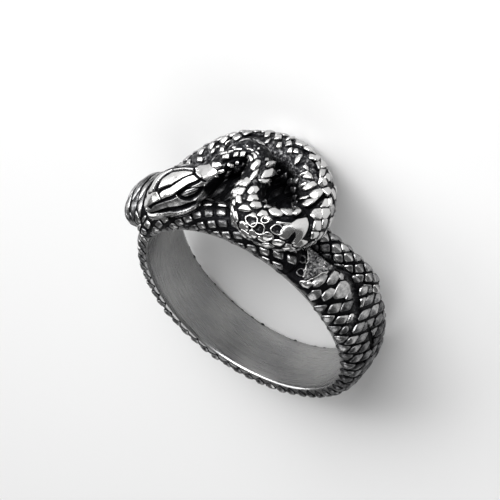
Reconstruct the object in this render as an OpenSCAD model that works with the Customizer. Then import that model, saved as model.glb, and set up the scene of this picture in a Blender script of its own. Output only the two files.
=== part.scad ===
// A one-piece cast snake ring. The scaled shank carries a raised shoulder, from
// which the snake's body rises, coils once over the top of the ring, hooks back
// on itself as a neck and ends in a head that lies over the shoulder.
// Sizes are in millimetres and angles in degrees. A place on the ring is given
// as an angle round the finger hole, from the middle of the top, a distance
// across the ring and a radius from the axis of the finger hole.

/* [Finger hole] */
// Diameter of the finger hole
finger_bore = 19; // [15:0.5:22]
// Thickness left between the finger hole and the outer edge of the band
rim_wall = 0.5; // [0.4:0.05:1.2]

/* [Rest] */
// Lean of the ring about the left to right line when it lies on its far side
rest_lean = 10; // [0:0.1:15]
// Lean of the ring about the front to back line when it lies on its far side
rest_roll = 1; // [-8:0.1:8]
// Height of the middle of the finger hole above the surface
rest_height = 4.16; // [3:0.01:9]
// Shift of the finger hole to the right, to centre the whole ring
centre_x = -0.28; // [-3:0.01:3]
// Shift of the finger hole to the back, to centre the whole ring
centre_y = 2.2; // [-3:0.01:3]

/* [Scales of the band] */
// Half rows of scales round the whole band
band_rows = 110; // [80:2:200]
// Half rows of scales across the band
band_columns = 6; // [6:2:12]
// Height of a scale above the groove between scales
scale_height = 0.2; // [0.1:0.02:0.4]
// Size of a scale's flat top against its foot
scale_top = 0.61; // [0.4:0.05:0.8]
// Slant of the rows of scales, in degrees round the ring per millimetre across
scale_slant = -0.84; // [-2:0.05:2]

/* [Scales of the body] */
// Length of half a scale along the coiled body
body_scale = 0.6; // [0.4:0.05:0.8]
// Half rows of scales round the coiled body
body_columns = 12; // [8:2:16]
// Length of half a scale along the two strands
strand_scale = 0.6; // [0.4:0.05:0.8]
// Height of a scale on the body and the two strands
body_scale_height = 0.2; // [0.1:0.02:0.4]

/* [Recessed arcs] */
// Radius of the groove that forms each smooth arc on the band
arc_groove = 0.34; // [0.2:0.02:0.5]

/* [Head] */
// Radius of each eyeball
eye_radius = 0.38; // [0.2:0.02:0.5]
// Half length of the almond rim round each eye
eye_half_length = 1.15; // [0.6:0.05:1.3]
// Half height of the almond rim, in degrees round the section of the head
eye_half_height = 20; // [12:1:26]
// Thickness of the rims and ridges on the head
ridge = 0.13; // [0.08:0.01:0.25]
// Lean of the head towards the near side
head_lean = 14; // [0:1:20]

/* [Hidden] */
bore_r = finger_bore / 2;
inner_r = bore_r - 0.3;
rim_r = bore_r + rim_wall;

// The band: angle, near edge, far edge, radius of the crown of the dome
band = [
  [-180, 2.4, -2.4, 10.9],
  [-150, 2.5, -2.5, 10.9],
  [-120, 2.8, -2.8, 11.0],
  [-95, 3.0, -2.8, 10.95],
  [-70, 3.1, -2.7, 11.0],
  [-56, 3.1, -2.4, 11.1],
  [-49, 3.1, -2.3, 11.1],
  [-44, 3.1, -2.2, 10.6],
  [-38, 3.1, -2.2, 10.4],
  [-26, 3.1, -2.8, 10.4],
  [-14, 3.1, -4.4, 10.5],
  [2, 3.1, -4.8, 10.5],
  [20, 3.2, -4.4, 10.5],
  [38, 3.3, -3.4, 10.6],
  [50, 3.2, -3.1, 10.7],
  [62, 2.6, -3.0, 10.8],
  [75, 2.5, -2.9, 10.8],
  [95, 2.5, -2.8, 10.8],
  [120, 2.5, -2.6, 10.8],
  [150, 2.5, -2.5, 10.9],
  [180, 2.4, -2.4, 10.9]];
// Middle of the arch where the dome of the right shoulder starts
arch_mid = 0.5;
// How far the start of the dome runs round the ring, per millimetre across
arch_slope = 2.9;
// Angle from the top beyond which the scales of the band are keeled
keeled_from = 104;
// Angles between which the band is plain under the coil
plain_from = -45;
plain_to = 42;

// The body from the left shoulder, round the coil and along the neck:
// angle, across, radius, half width, half height
body = [
  [72, -0.6, 9.9, 1.8, 0.6],
  [65, -0.4, 11.0, 2.2, 1.2],
  [58, 0.2, 11.6, 2.5, 1.55],
  [50, 0.2, 11.0, 2.8, 1.45],
  [42, -0.7, 10.7, 2.6, 1.3],
  [34, -1.9, 11.0, 2.1, 1.3],
  [25.5, -2.9, 11.4, 1.7, 1.35],
  [16.5, -3.8, 11.8, 1.55, 1.4],
  [7, -4.4, 12.1, 1.5, 1.4],
  [-2, -4.7, 12.3, 1.5, 1.45],
  [-10.5, -4.5, 12.5, 1.5, 1.45],
  [-17.5, -3.8, 12.6, 1.55, 1.5],
  [-24, -2.4, 12.7, 1.55, 1.5],
  [-26.5, -0.8, 12.8, 1.5, 1.5],
  [-25, 0.8, 12.9, 1.5, 1.45],
  [-20, 1.8, 12.9, 1.5, 1.4],
  [-14, 2.2, 12.9, 1.45, 1.35],
  [-8.5, 1.9, 13.0, 1.35, 1.3],
  [-5, 0.8, 13.2, 1.2, 1.2],
  [-3.8, -0.5, 13.5, 1.1, 1.1],
  [-3, -1.7, 13.9, 1.0, 1.0],
  [-0.5, -2.5, 14.1, 0.9, 0.9],
  [4, -2.6, 14.1, 0.85, 0.85],
  [8.5, -1.6, 13.7, 0.85, 0.75],
  [11.5, -0.7, 13.3, 0.85, 0.7],
  [14, 0.0, 13.05, 0.85, 0.65]];

// The strand along the near edge, under the coil, and the one along the far
// edge: angle, across, radius, half width, half height
near_strand = [
  [58, 2.2, 10.2, 1.3, 0.9],
  [46, 2.2, 10.3, 1.25, 1.05],
  [32, 2.1, 10.3, 1.2, 1.15],
  [16, 1.9, 10.3, 1.2, 1.2],
  [0, 1.9, 10.3, 1.2, 1.2],
  [-14, 1.9, 10.3, 1.2, 1.2],
  [-26, 1.9, 10.3, 1.2, 1.15],
  [-34, 1.8, 10.2, 1.2, 1.0]];
far_strand = [
  [-12, -1.6, 10.3, 0.9, 1.0],
  [-24, -1.3, 10.3, 0.9, 1.0],
  [-36, -1.3, 10.3, 0.85, 1.0],
  [-48, -1.5, 10.3, 0.85, 1.0],
  [-60, -1.9, 10.3, 0.85, 1.0],
  [-72, -2.2, 10.2, 0.8, 0.9]];

// The smooth recessed arcs on the band: angle, across, radius
arc_high = [
  [-52, -0.6, 11.3],
  [-58, -0.5, 11.45],
  [-64, 0.0, 11.5],
  [-69, 1.1, 11.4],
  [-71.5, 2.4, 11.0],
  [-72, 3.3, 10.3]];
arc_low = [
  [-76, 0.3, 11.4],
  [-83, 0.1, 11.4],
  [-90, 0.2, 11.35],
  [-96, 0.8, 11.3],
  [-100, 1.9, 11.05],
  [-102, 3.2, 10.2]];

// The head from the nape to the nose: angle, across, radius, half width,
// height above the middle, depth below it
head = [
  [11.2, -0.6, 13.2, 0.8, 0.65, 0.8],
  [13.0, -0.05, 12.95, 0.95, 0.95, 0.95],
  [15.6, 0.55, 12.75, 1.35, 1.4, 0.95],
  [19.2, 1.05, 12.6, 1.75, 1.65, 0.95],
  [22.8, 1.6, 12.5, 2.0, 1.7, 0.95],
  [26.6, 2.1, 12.6, 1.95, 1.5, 0.9],
  [29.9, 2.65, 12.5, 1.55, 1.05, 0.75],
  [33.0, 3.1, 12.3, 1.1, 0.65, 0.7],
  [35.2, 3.3, 12.3, 0.6, 0.35, 0.5]];
// The place of an eye along the head, in rows of the table above
eye_row = 2.75;
// The angle of an eye round the section of the head, from its side
eye_up = 34;
// Millimetres along the head for each row of the table, near the eyes
head_pitch = 0.96;

function unit(v) = v / max(norm(v), 0.000001);
function clamp(x, a, b) = min(b, max(a, x));
function place(row) =
  [row[2] * sin(row[0]), -row[2] * cos(row[0]), row[1]];
function outward(angle) = [sin(angle), -cos(angle), 0];

// A smooth curve through the rows of a table, at a fractional row
function blend(a, b, c, d, f) =
  0.5 * (2 * b + (c - a) * f + (2 * a - 5 * b + 4 * c - d) * f * f
    + (3 * b - a - 3 * c + d) * f * f * f);
function row_at(rows, u) =
  let (n = len(rows) - 1, k = clamp(floor(u), 0, n - 1))
  blend(rows[max(0, k - 1)], rows[k], rows[k + 1], rows[min(n, k + 2)], u - k);

// Distance along a table of places against its row number
function walk(rows, fine = 8) =
  let (m = (len(rows) - 1) * fine,
    p = [for (k = [0 : m]) place(row_at(rows, k / fine))])
  [for (k = 0, s = 0; k <= m;
    k = k + 1, s = k <= m ? s + norm(p[k] - p[k - 1]) : s) [s, k / fine]];

// Place, direction, outward and sideways directions, and the row itself
function frame_at(rows, u) =
  let (n = len(rows) - 1, r = row_at(rows, u),
    t = unit(place(row_at(rows, min(n, u + 0.05)))
      - place(row_at(rows, max(0, u - 0.05)))),
    o = outward(r[0]), up = unit(o - t * (o * t)))
  [place(r), t, up, cross(t, up), r];

// Faces of one scale from its four foot corners and its raised top, which is
// a flat diamond or, on a keeled scale, a ridge across
function scale_faces(w, n, e, s, q, keeled) = keeled
  ? [[w, n, q + 1], [w, q + 1, q + 3], [w, q + 3, s],
    [e, s, q + 3], [e, q + 3, q + 1], [e, q + 1, n]]
  : [[w, n, q + 1], [w, q + 1, q], [n, e, q + 2], [n, q + 2, q + 1],
    [e, s, q + 3], [e, q + 3, q + 2], [s, w, q], [s, q, q + 3],
    [q, q + 1, q + 2], [q, q + 2, q + 3]];

// A body swept along a table, with diamond scales on its upper side
module scaled_body(rows, columns, step, high, keeled = false, low_limit = -0.35) {
  run = walk(rows);
  total = run[len(run) - 1][0];
  ni = 2 * round(total / step / 2);
  nj = columns;
  function skin(i, j, h) =
    let (f = frame_at(rows, lookup(total * clamp(i, 0, ni) / ni, run)),
      a = 360 * j / nj)
    f[0] + f[3] * cos(a) * (f[4][3] + h) + f[2] * sin(a) * (f[4][4] + h);
  function at(i, j) = i * nj + (j + nj) % nj;
  cells = [for (i = [0 : ni]) for (j = [0 : nj - 1]) if ((i + j) % 2 == 1) [i, j]];
  raised = [for (c = cells) if (c[0] > 0 && c[0] < ni
    && sin(360 * c[1] / nj) > low_limit) c];
  flat = [for (c = cells) if (!(c[0] > 0 && c[0] < ni
    && sin(360 * c[1] / nj) > low_limit)) c];
  foot = [for (i = [0 : ni]) for (j = [0 : nj - 1]) skin(i, j, 0)];
  first = len(foot);
  k = scale_top;
  tops = [for (c = raised) each [
    skin(c[0] - k, c[1], high), skin(c[0], c[1] + k, high),
    skin(c[0] + k, c[1], high), skin(c[0], c[1] - k, high)]];
  ends = [frame_at(rows, 0)[0], frame_at(rows, len(rows) - 1)[0]];
  tip = first + len(tops);
  polyhedron(points = concat(foot, tops, ends), faces = concat(
    [for (q = [0 : len(raised) - 1]) let (c = raised[q])
      each scale_faces(at(c[0] - 1, c[1]), at(c[0], c[1] + 1),
        at(c[0] + 1, c[1]), at(c[0], c[1] - 1), first + 4 * q, keeled)],
    [for (c = flat) let (w = at(max(c[0] - 1, 0), c[1]), e = at(min(c[0] + 1, ni), c[1]))
      each (c[0] == 0
        ? [[w, at(0, c[1] + 1), e], [w, e, at(0, c[1] - 1)]]
        : c[0] == ni
          ? [[w, at(ni, c[1] + 1), e], [w, e, at(ni, c[1] - 1)]]
          : [[w, at(c[0], c[1] + 1), e], [w, e, at(c[0], c[1] - 1)]])],
    [for (j = [0 : nj - 1]) [tip, at(0, j + 1), at(0, j)]],
    [for (j = [0 : nj - 1]) [tip + 1, at(ni, j), at(ni, j + 1)]]));
}

// A point on the band, at fractional half rows round and across it
function band_row(angle, column) = lookup(angle, [for (r = band) [r[0], r[column]]]);
function band_soft(angle, column, spread) =
  (band_row(angle - spread, column) + 2 * band_row(angle, column)
    + band_row(angle + spread, column)) / 4;
function wrap(angle) = angle > 180 ? angle - 360 : angle < -180 ? angle + 360 : angle;
function band_across(i, j) =
  let (a = wrap(360 * i / band_rows - 180), v = 2 * j / band_columns - 1,
    near = band_soft(a, 1, 6), far = band_soft(a, 2, 6))
  (near + far) / 2 + (near - far) / 2 * (0.62 * v + 0.38 * sin(90 * v));
function band_angle(i, j) = 360 * i / band_rows - 180 - scale_slant * band_across(i, j);
function band_arch(i, j) =
  let (a = 360 * i / band_rows - 180)
  wrap(band_angle(i, j) - (a < 0 && a > -110 ? arch_slope * (band_across(i, j) - arch_mid) : 0));
function band_point(i, j, h) =
  let (a = wrap(360 * i / band_rows - 180), z = band_across(i, j),
    near = band_soft(a, 1, 6), far = band_soft(a, 2, 6),
    q = min(1, abs(z - (near + far) / 2) / ((near - far) / 2)),
    crown = band_soft(band_arch(i, j), 3, 1.5),
    r = rim_r + (crown - rim_r) * pow(1 - pow(q, 2.4), 1 / 2.4) + h * (1 - 0.6 * pow(q, 6)),
    g = band_angle(i, j))
  [r * sin(g), -r * cos(g), z];
function band_scaled(i, j) =
  let (a = band_arch(i, j)) a < plain_from || a > plain_to;

module scaled_band() {
  ni = band_rows;
  nj = band_columns;
  wide = nj + 3;
  function at(i, j) = ((i + ni) % ni) * wide + j;
  cells = [for (i = [0 : ni - 1]) for (j = [0 : nj]) if ((i + j) % 2 == 1) [i, j]];
  raised = [for (c = cells) if (band_scaled(c[0], c[1])) c];
  flat = [for (c = cells) if (!band_scaled(c[0], c[1])) c];
  foot = [for (i = [0 : ni - 1]) each concat(
    [for (j = [0 : nj]) band_point(i, j, 0)],
    [for (j = [nj, 0]) let (g = band_angle(i, j))
      [inner_r * sin(g), -inner_r * cos(g), band_across(i, j)]])];
  first = len(foot);
  k = scale_top;
  tops = [for (c = raised) let (m = clamp(c[1], 0.35, nj - 0.35)) each [
    band_point(c[0] - k, m, scale_height),
    band_point(c[0], min(c[1] + k, nj - 0.12), scale_height),
    band_point(c[0] + k, m, scale_height),
    band_point(c[0], max(c[1] - k, 0.12), scale_height)]];
  function south(c) = at(c[0], max(c[1] - 1, 0));
  function north(c) = at(c[0], min(c[1] + 1, nj));
  polyhedron(points = concat(foot, tops), faces = concat(
    [for (q = [0 : len(raised) - 1]) let (c = raised[q])
      each scale_faces(at(c[0] - 1, c[1]), north(c), at(c[0] + 1, c[1]), south(c),
        first + 4 * q, abs(band_angle(c[0], c[1])) > keeled_from)],
    [for (c = flat) each [[at(c[0] - 1, c[1]), north(c), south(c)],
      [north(c), at(c[0] + 1, c[1]), south(c)]]],
    [for (i = [0 : ni - 1]) for (e = [[nj, nj + 1], [nj + 1, nj + 2], [nj + 2, 0]])
      each [[at(i, e[0]), at(i, e[1]), at(i + 1, e[1])],
        [at(i, e[0]), at(i + 1, e[1]), at(i + 1, e[0])]]]));
}

// A thin round rod through a list of places, with its own outward directions
module rod(points, ups, radius, sides = 6) {
  n = len(points) - 1;
  rings = [for (k = [0 : n])
    let (t = unit(points[min(n, k + 1)] - points[max(0, k - 1)]),
      up = unit(ups[k] - t * (ups[k] * t)), b = cross(t, up),
      r = radius * (k == 0 || k == n ? 0.45 : 1))
    each [for (j = [0 : sides - 1])
      points[k] + r * (b * cos(360 * j / sides) + up * sin(360 * j / sides))]];
  function at(i, j) = i * sides + j % sides;
  polyhedron(points = rings, faces = concat(
    [for (i = [0 : n - 1]) for (j = [0 : sides - 1])
      each [[at(i, j), at(i, j + 1), at(i + 1, j + 1)], [at(i, j), at(i + 1, j + 1), at(i + 1, j)]]],
    [[for (j = [sides - 1 : -1 : 0]) at(0, j)], [for (j = [0 : sides - 1]) at(n, j)]]));
}

module groove(rows, radius, steps = 14) {
  run = walk(rows);
  total = run[len(run) - 1][0];
  fs = [for (k = [0 : steps]) frame_at(rows, lookup(total * k / steps, run))];
  rod([for (f = fs) f[0]], [for (f = fs) f[2]], radius);
}

// A point on the head, at a fractional row and an angle round its section
function head_point(u, a, lift) =
  let (f = frame_at(head, u), r = f[4], c = cos(a), s = sin(a),
    x = sign(c) * pow(abs(c), 0.8) * r[3] + c * lift,
    y = sign(s) * pow(abs(s), 0.9) * (s > 0 ? r[4] : r[5]) + s * lift,
    lean = head_lean * min(1, u / 2))
  f[0] + f[3] * (x * cos(lean) - y * sin(lean)) + f[2] * (x * sin(lean) + y * cos(lean));

module head_form(steps = 13, sides = 14) {
  n = len(head) - 1;
  us = [for (k = [0 : steps]) n * k / steps];
  rings = [for (u = us) for (j = [0 : sides - 1]) head_point(u, 360 * j / sides, 0)];
  function at(i, j) = i * sides + j % sides;
  polyhedron(points = concat(rings, [frame_at(head, 0)[0], frame_at(head, n)[0]]),
    faces = concat(
      [for (i = [0 : steps - 1]) for (j = [0 : sides - 1])
        each [[at(i, j), at(i, j + 1), at(i + 1, j + 1)],
          [at(i, j), at(i + 1, j + 1), at(i + 1, j)]]],
      [for (j = [0 : sides - 1]) [len(rings), at(0, j + 1), at(0, j)]],
      [for (j = [0 : sides - 1]) [len(rings) + 1, at(steps, j), at(steps, j + 1)]]));
}

// A ridge or groove line on the head, from row to row and angle to angle
module head_line(u0, u1, a0, a1, radius, lift, steps = 5) {
  us = [for (k = [0 : steps]) u0 + (u1 - u0) * k / steps];
  rod([for (k = [0 : steps]) head_point(us[k], a0 + (a1 - a0) * k / steps, lift)],
    [for (u = us) frame_at(head, u)[2]], radius, 4);
}

module eye(side) {
  a = side > 0 ? 180 - eye_up : eye_up;
  f = frame_at(head, eye_row);
  c = head_point(eye_row, a, 0);
  // The eyeball, lengthened along the head
  translate(c - outward(f[4][0]) * 0.02)
    multmatrix([for (k = [0 : 2]) [f[1][k] * 1.25, f[2][k] * 0.75, f[3][k] * 0.8, 0]])
      sphere(r = eye_radius, $fn = 14);
  // The almond rim, as a loop of short rods round the eyeball
  loop = [for (k = [0 : 10]) let (w = 360 * k / 10)
    head_point(eye_row + cos(w) * eye_half_length / head_pitch,
      a + eye_half_height * sin(w) * (1 - 0.35 * abs(cos(w))), 0)];
  rod(loop, [for (p = loop) f[3]], ridge, 4);
}

module snake_head() {
  difference() {
    head_form();
    // The mouth line and the two grooves along the top plate
    head_line(2.99, 7.28, -14, 22, ridge, 0.02);
    head_line(2.99, 7.28, 194, 158, ridge, 0.02);
    head_line(2.26, 5.1, 82, 72, ridge * 0.8, 0.02);
    head_line(2.26, 5.1, 98, 108, ridge * 0.8, 0.02);
  }
  // The brows
  head_line(1.88, 5.42, 71, 56, ridge * 1.1, 0);
  head_line(1.88, 5.42, 109, 124, ridge * 1.1, 0);
  eye(1);
  eye(-1);
}

module cast_form() {
  difference() {
    union() {
      scaled_band();
      scaled_body(near_strand, 8, strand_scale, body_scale_height, true);
      scaled_body(far_strand, 8, strand_scale, body_scale_height, true);
    }
    groove(arc_high, arc_groove);
    groove(arc_low, arc_groove);
  }
  scaled_body(body, body_columns, body_scale, body_scale_height);
  snake_head();
}

module snake_ring() {
  color([0.42, 0.42, 0.44])
    translate([centre_x, centre_y, rest_height])
      rotate([-rest_lean, rest_roll, 0])
        difference() {
          // The scaled form keeps its own sizes
          resize([0, 0, 0]) cast_form();
          cylinder(r = bore_r, h = 24, center = true, $fn = 128);
        }
}

snake_ring();
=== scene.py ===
# %% [markdown]
# # A cast snake ring, built in Blender
#
# This lesson dresses a packed CAD ring with the surface that a caster and a
# polisher give it: rounded scales, a carved head, black oxide in the grooves
# and bright metal on the high spots. The ring lies on its far side, as it
# comes to rest on a table.

# %% Load the packed ring
import math

import bpy
import numpy as np
from mathutils import Matrix, Vector


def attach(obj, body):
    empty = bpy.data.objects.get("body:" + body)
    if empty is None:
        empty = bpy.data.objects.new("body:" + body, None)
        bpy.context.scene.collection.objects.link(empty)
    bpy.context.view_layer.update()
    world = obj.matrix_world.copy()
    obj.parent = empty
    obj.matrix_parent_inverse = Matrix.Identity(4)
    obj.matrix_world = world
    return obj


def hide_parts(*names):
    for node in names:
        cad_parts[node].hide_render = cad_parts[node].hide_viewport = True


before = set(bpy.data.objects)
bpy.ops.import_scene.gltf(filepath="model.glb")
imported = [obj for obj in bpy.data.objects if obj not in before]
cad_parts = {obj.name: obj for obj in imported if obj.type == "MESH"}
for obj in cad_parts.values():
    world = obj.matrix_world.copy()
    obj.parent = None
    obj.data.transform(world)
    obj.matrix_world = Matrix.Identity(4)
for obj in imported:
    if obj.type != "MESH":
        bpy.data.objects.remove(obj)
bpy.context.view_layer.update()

ring_nodes = sorted(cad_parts)

# %% [markdown]
# ## Where things are
#
# A ring is easiest to model about the axis of its hole, in whole
# millimetres. A place is then an angle round the hole from the middle of the
# top, a distance across the band and a radius. When a piece is finished, one
# matrix lays it down on the table and turns millimetres into metres.

# %% From ring places to the table
MM = 0.001
# Where the middle of the hole stands in mm, and how the ring leans in degrees
HOLE_PLACE = (-0.28, 2.2, 4.16)
SIDE_LEAN, BACK_LEAN = 1.0, -10.0
LAY_DOWN = (
    Matrix.Translation([c * MM for c in HOLE_PLACE])
    @ Matrix.Rotation(math.radians(SIDE_LEAN), 4, "Y")
    @ Matrix.Rotation(math.radians(BACK_LEAN), 4, "X")
    @ Matrix.Scale(MM, 4)
)


def on_ring(angle, across, radius):
    """Points from angles in degrees, distances across and radii."""
    turn = np.radians(angle)
    return np.stack([radius * np.sin(turn), -radius * np.cos(turn),
                     across + 0 * turn], -1)


def unit(v):
    """Directions of length 1."""
    return v / np.maximum(np.linalg.norm(v, axis=-1, keepdims=True), 1e-9)


def ease(x, low, high):
    """0 below low, 1 above high and a soft step between."""
    f = np.clip((x - low) / (high - low), 0, 1)
    return f * f * (3 - 2 * f)


def ridge(x, middle, half):
    """A rounded bump, 1 at its middle and 0 beyond half on either side."""
    f = np.clip(1 - ((x - middle) / half) ** 2, 0, 1)
    return f * f * (3 - 2 * f)


print("top of the band:", on_ring(0, 0, 11.0).round(2))

# %% [markdown]
# ## The camera
#
# The picture looks at the near edge of the ring from the front and above, with
# the camera rolled so that the head lies at the lower left. The camera is set
# by three angles about the ring, and shares the ring's matrix, so it keeps the
# same view after the ring is laid down.

# %% Set the camera
VIEW_TURN, VIEW_HEIGHT, VIEW_ROLL = (math.radians(a) for a in (-27, 28.4, -142.5))
VIEW_DISTANCE = 200.0
PIXELS_PER_MM = 12.1
SENSOR = 36.0
PICTURE = 500
# The pixel on which the middle of the hole falls
HOLE_PIXEL = (259.08, 287.69)

to_camera = Vector((math.sin(VIEW_TURN) * math.cos(VIEW_HEIGHT),
                    -math.cos(VIEW_TURN) * math.cos(VIEW_HEIGHT), math.sin(VIEW_HEIGHT)))
level = Vector((math.cos(VIEW_TURN), math.sin(VIEW_TURN), 0))
above = to_camera.cross(level)
picture_right = level * math.cos(VIEW_ROLL) + above * math.sin(VIEW_ROLL)
picture_up = above * math.cos(VIEW_ROLL) - level * math.sin(VIEW_ROLL)

camera = bpy.data.objects.new("camera", bpy.data.cameras.new("camera"))
bpy.context.scene.collection.objects.link(camera)
aim = Matrix((picture_right, picture_up, to_camera)).transposed().to_4x4()
camera.matrix_world = Matrix.LocRotScale(
    LAY_DOWN @ (to_camera * VIEW_DISTANCE), (LAY_DOWN @ aim).to_quaternion(), None)
camera.data.sensor_width = SENSOR
camera.data.lens = PIXELS_PER_MM * VIEW_DISTANCE * SENSOR / PICTURE
camera.data.shift_x = (PICTURE / 2 - HOLE_PIXEL[0]) / PICTURE
camera.data.shift_y = (HOLE_PIXEL[1] - PICTURE / 2) / PICTURE
camera.data.clip_start = 0.001
bpy.context.scene.camera = camera
print("camera stands at", [round(c, 4) for c in camera.matrix_world.translation])

# %% [markdown]
# ## Hand tools
#
# A few short helpers do what the hand does between operators: take hold of one
# object, add or copy a blank, join copies into one piece, raise a face in steps,
# and move every point of a mesh at once. The last is how a flat or round blank
# is bent to a place on the ring.

# %% Helpers for holding and bending a blank


def take(*objects):
    """Only these objects are selected, and the first is active."""
    if bpy.context.object and bpy.context.object.mode != "OBJECT":
        bpy.ops.object.mode_set(mode="OBJECT")
    bpy.ops.object.select_all(action="DESELECT")
    for o in objects:
        o.select_set(True)
    bpy.context.view_layer.objects.active = objects[0]
    return objects[0]


def new_blank(add, **sizes):
    """Adds a primitive by its operator, with nothing else selected."""
    bpy.ops.object.select_all(action="DESELECT")
    add(**sizes)
    return bpy.context.object


def copy_of(blank):
    """A copy with points of its own."""
    one = blank.copy()
    one.data = blank.data.copy()
    bpy.context.scene.collection.objects.link(one)
    return one


def joined(copies, name, what):
    """Joins copies into one piece."""
    take(*copies)
    bpy.ops.object.join()
    print(name, "has", len(copies), what)
    return bpy.context.object


def raise_face(steps, crown):
    """Extrudes the whole face in steps of a rise and a size, then pokes its top."""
    bpy.ops.object.mode_set(mode="EDIT")
    bpy.ops.mesh.select_all(action="SELECT")
    for rise, size in steps:
        bpy.ops.mesh.extrude_region_move(TRANSFORM_OT_translate={"value": (0, 0, rise)})
        bpy.ops.transform.resize(value=(size, size, 1))
    bpy.ops.mesh.poke(offset=crown)
    bpy.ops.object.mode_set(mode="OBJECT")


def points_of(piece):
    """The points of a piece, as rows of x, y and z."""
    co = np.empty(len(piece.data.vertices) * 3)
    piece.data.vertices.foreach_get("co", co)
    return co.reshape(-1, 3)


def bend(piece, points):
    """Puts the points of a piece where a table or a surface says."""
    piece.data.vertices.foreach_set("co", np.asarray(points, float).ravel())
    piece.data.update()


print("helpers ready: take, new_blank, copy_of, joined, raise_face, points_of and bend")

# %% [markdown]
# ## Finishing a piece
#
# Each point of a piece carries two numbers, which the metal reads: how far the
# polishing wheel reached it, and how sandy it was cast. When the shape is done,
# doubled points are merged, the faces are turned outwards, and the piece is laid
# on the table as part of the one cast body.

# %% Helpers for marking and finishing


def mark(piece, name, values):
    """Writes one number per point, which the metal's material reads."""
    layer = piece.data.attributes.get(name) or piece.data.attributes.new(
        name, "FLOAT", "POINT")
    layer.data.foreach_set("value", np.broadcast_to(
        np.asarray(values, np.float32), len(piece.data.vertices)).copy())


def face_outwards(piece):
    """Merges doubled points, closes the poles and turns every face outwards."""
    take(piece)
    bpy.ops.object.mode_set(mode="EDIT")
    bpy.ops.mesh.select_all(action="SELECT")
    bpy.ops.mesh.remove_doubles(threshold=1e-5)
    bpy.ops.mesh.normals_make_consistent(inside=False)
    bpy.ops.object.mode_set(mode="OBJECT")


def finish_piece(piece, name, metal):
    """Lays a finished piece down on the table, in metres, as part of the ring."""
    piece.name = piece.data.name = name
    piece.data.transform(LAY_DOWN)
    take(piece)
    bpy.ops.object.shade_smooth()
    piece.data.materials.clear()
    piece.data.materials.append(metal)
    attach(piece, "root")
    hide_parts(*ring_nodes)
    print(name, "has", sum(len(f.vertices) - 2 for f in piece.data.polygons), "triangles")


print("finished pieces stand for the nodes", ring_nodes)

# %% [markdown]
# ## The table of the band
#
# The same sizes as in the CAD source say how wide and how high the band is on
# its way round. The dome leans on the right shoulder, so its crown is read at an
# angle that changes across the band. Three lines are the grooves on that
# shoulder, and three short tables hold what was cut there by hand: slivers along
# the sandy panel's edge, large scales under it and small rimmed scales.

# %% Tables of the band
BORE, RIM = 9.5, 10.0
# angle, near edge, far edge, radius of the crown
BAND = np.array([
    (-180, 2.4, -2.4, 10.9), (-150, 2.5, -2.5, 10.9), (-120, 2.8, -2.8, 11.0),
    (-95, 3.0, -2.8, 10.95), (-70, 3.1, -2.7, 11.0), (-56, 3.1, -2.4, 11.1),
    (-49, 3.1, -2.3, 11.1), (-44, 3.1, -2.2, 10.6), (-38, 3.1, -2.2, 10.4),
    (-26, 3.1, -2.8, 10.4), (-14, 3.1, -4.4, 10.5), (2, 3.1, -4.8, 10.5),
    (20, 3.2, -4.4, 10.5), (38, 3.3, -3.4, 10.6), (50, 3.2, -3.1, 10.7),
    (62, 2.6, -3.0, 10.8), (75, 2.5, -2.9, 10.8), (95, 2.5, -2.8, 10.8),
    (120, 2.5, -2.6, 10.8), (150, 2.5, -2.5, 10.9), (180, 2.4, -2.4, 10.9)])
SLANT = -0.7
ARCH_MIDDLE, ARCH_SLOPE = 0.5, 2.9
LEANS_FROM, LEANS_TO = -110, 0
PLAIN_FROM, PLAIN_TO = -46.5, 42.0
SADDLE_FROM = -27

# Smooth grooves across the scales, as places of angle and distance across
ARC_HIGH = [(-48.5, -0.3), (-51.5, -0.35), (-54.2, -0.25), (-57.2, -0.1), (-61, 0.05),
            (-65.2, 0.35), (-68.8, 0.8), (-71.4, 1.5), (-74.0, 2.5)]
ARC_LOW = [(-78.2, 0.35), (-84.2, 0.3), (-92.2, 0.25), (-98.0, 0.3), (-99.5, 0.65)]
PANEL_TOP = [(-26, -0.2), (-34.8, -0.3), (-39.5, -0.35), (-45, -0.4), (-48.8, -0.5),
             (-52.8, -0.85), (-59.8, -1.3)]

# height, then the angle and distance across of each corner
PANEL_FACETS = [
    (0.2, (-32.2, 0.35), (-32.5, 0.25), (-35.2, 0.55), (-34.8, 0.65)),
    (0.22, (-34.8, 0.65), (-35.2, 0.55), (-37, 1), (-36, 1.05)),
    (0.22, (-35.5, 1.3), (-36, 1), (-37, 1), (-37, 1.4)),
    (0.2, (-36.8, 1.5), (-37.5, 1.4), (-38.8, 1.8), (-38, 1.95)),
    (0.2, (-38, 1.9), (-38.5, 1.8), (-39.5, 2.45), (-38.8, 2.45)),
    (0.24, (-39, 2.9), (-41, 2.6), (-43.2, 2.5), (-44, 2.85), (-42, 3)),
    (0.18, (-41.2, 2.6), (-41.8, 2.15), (-42.2, 2.15), (-42, 2.65)),
    (0.18, (-41.8, 2.1), (-43.2, 1.3), (-44, 1.4), (-42.5, 2.15)),
    (0.18, (-43.2, 1.3), (-46, 0.6), (-46, 0.95), (-44.2, 1.45)),
    (0.24, (-39.6, 2.95), (-40.8, 2.6), (-42.5, 2.45), (-43.8, 2.5), (-43.8, 2.8), (-42.2, 3.0)),
]

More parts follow.
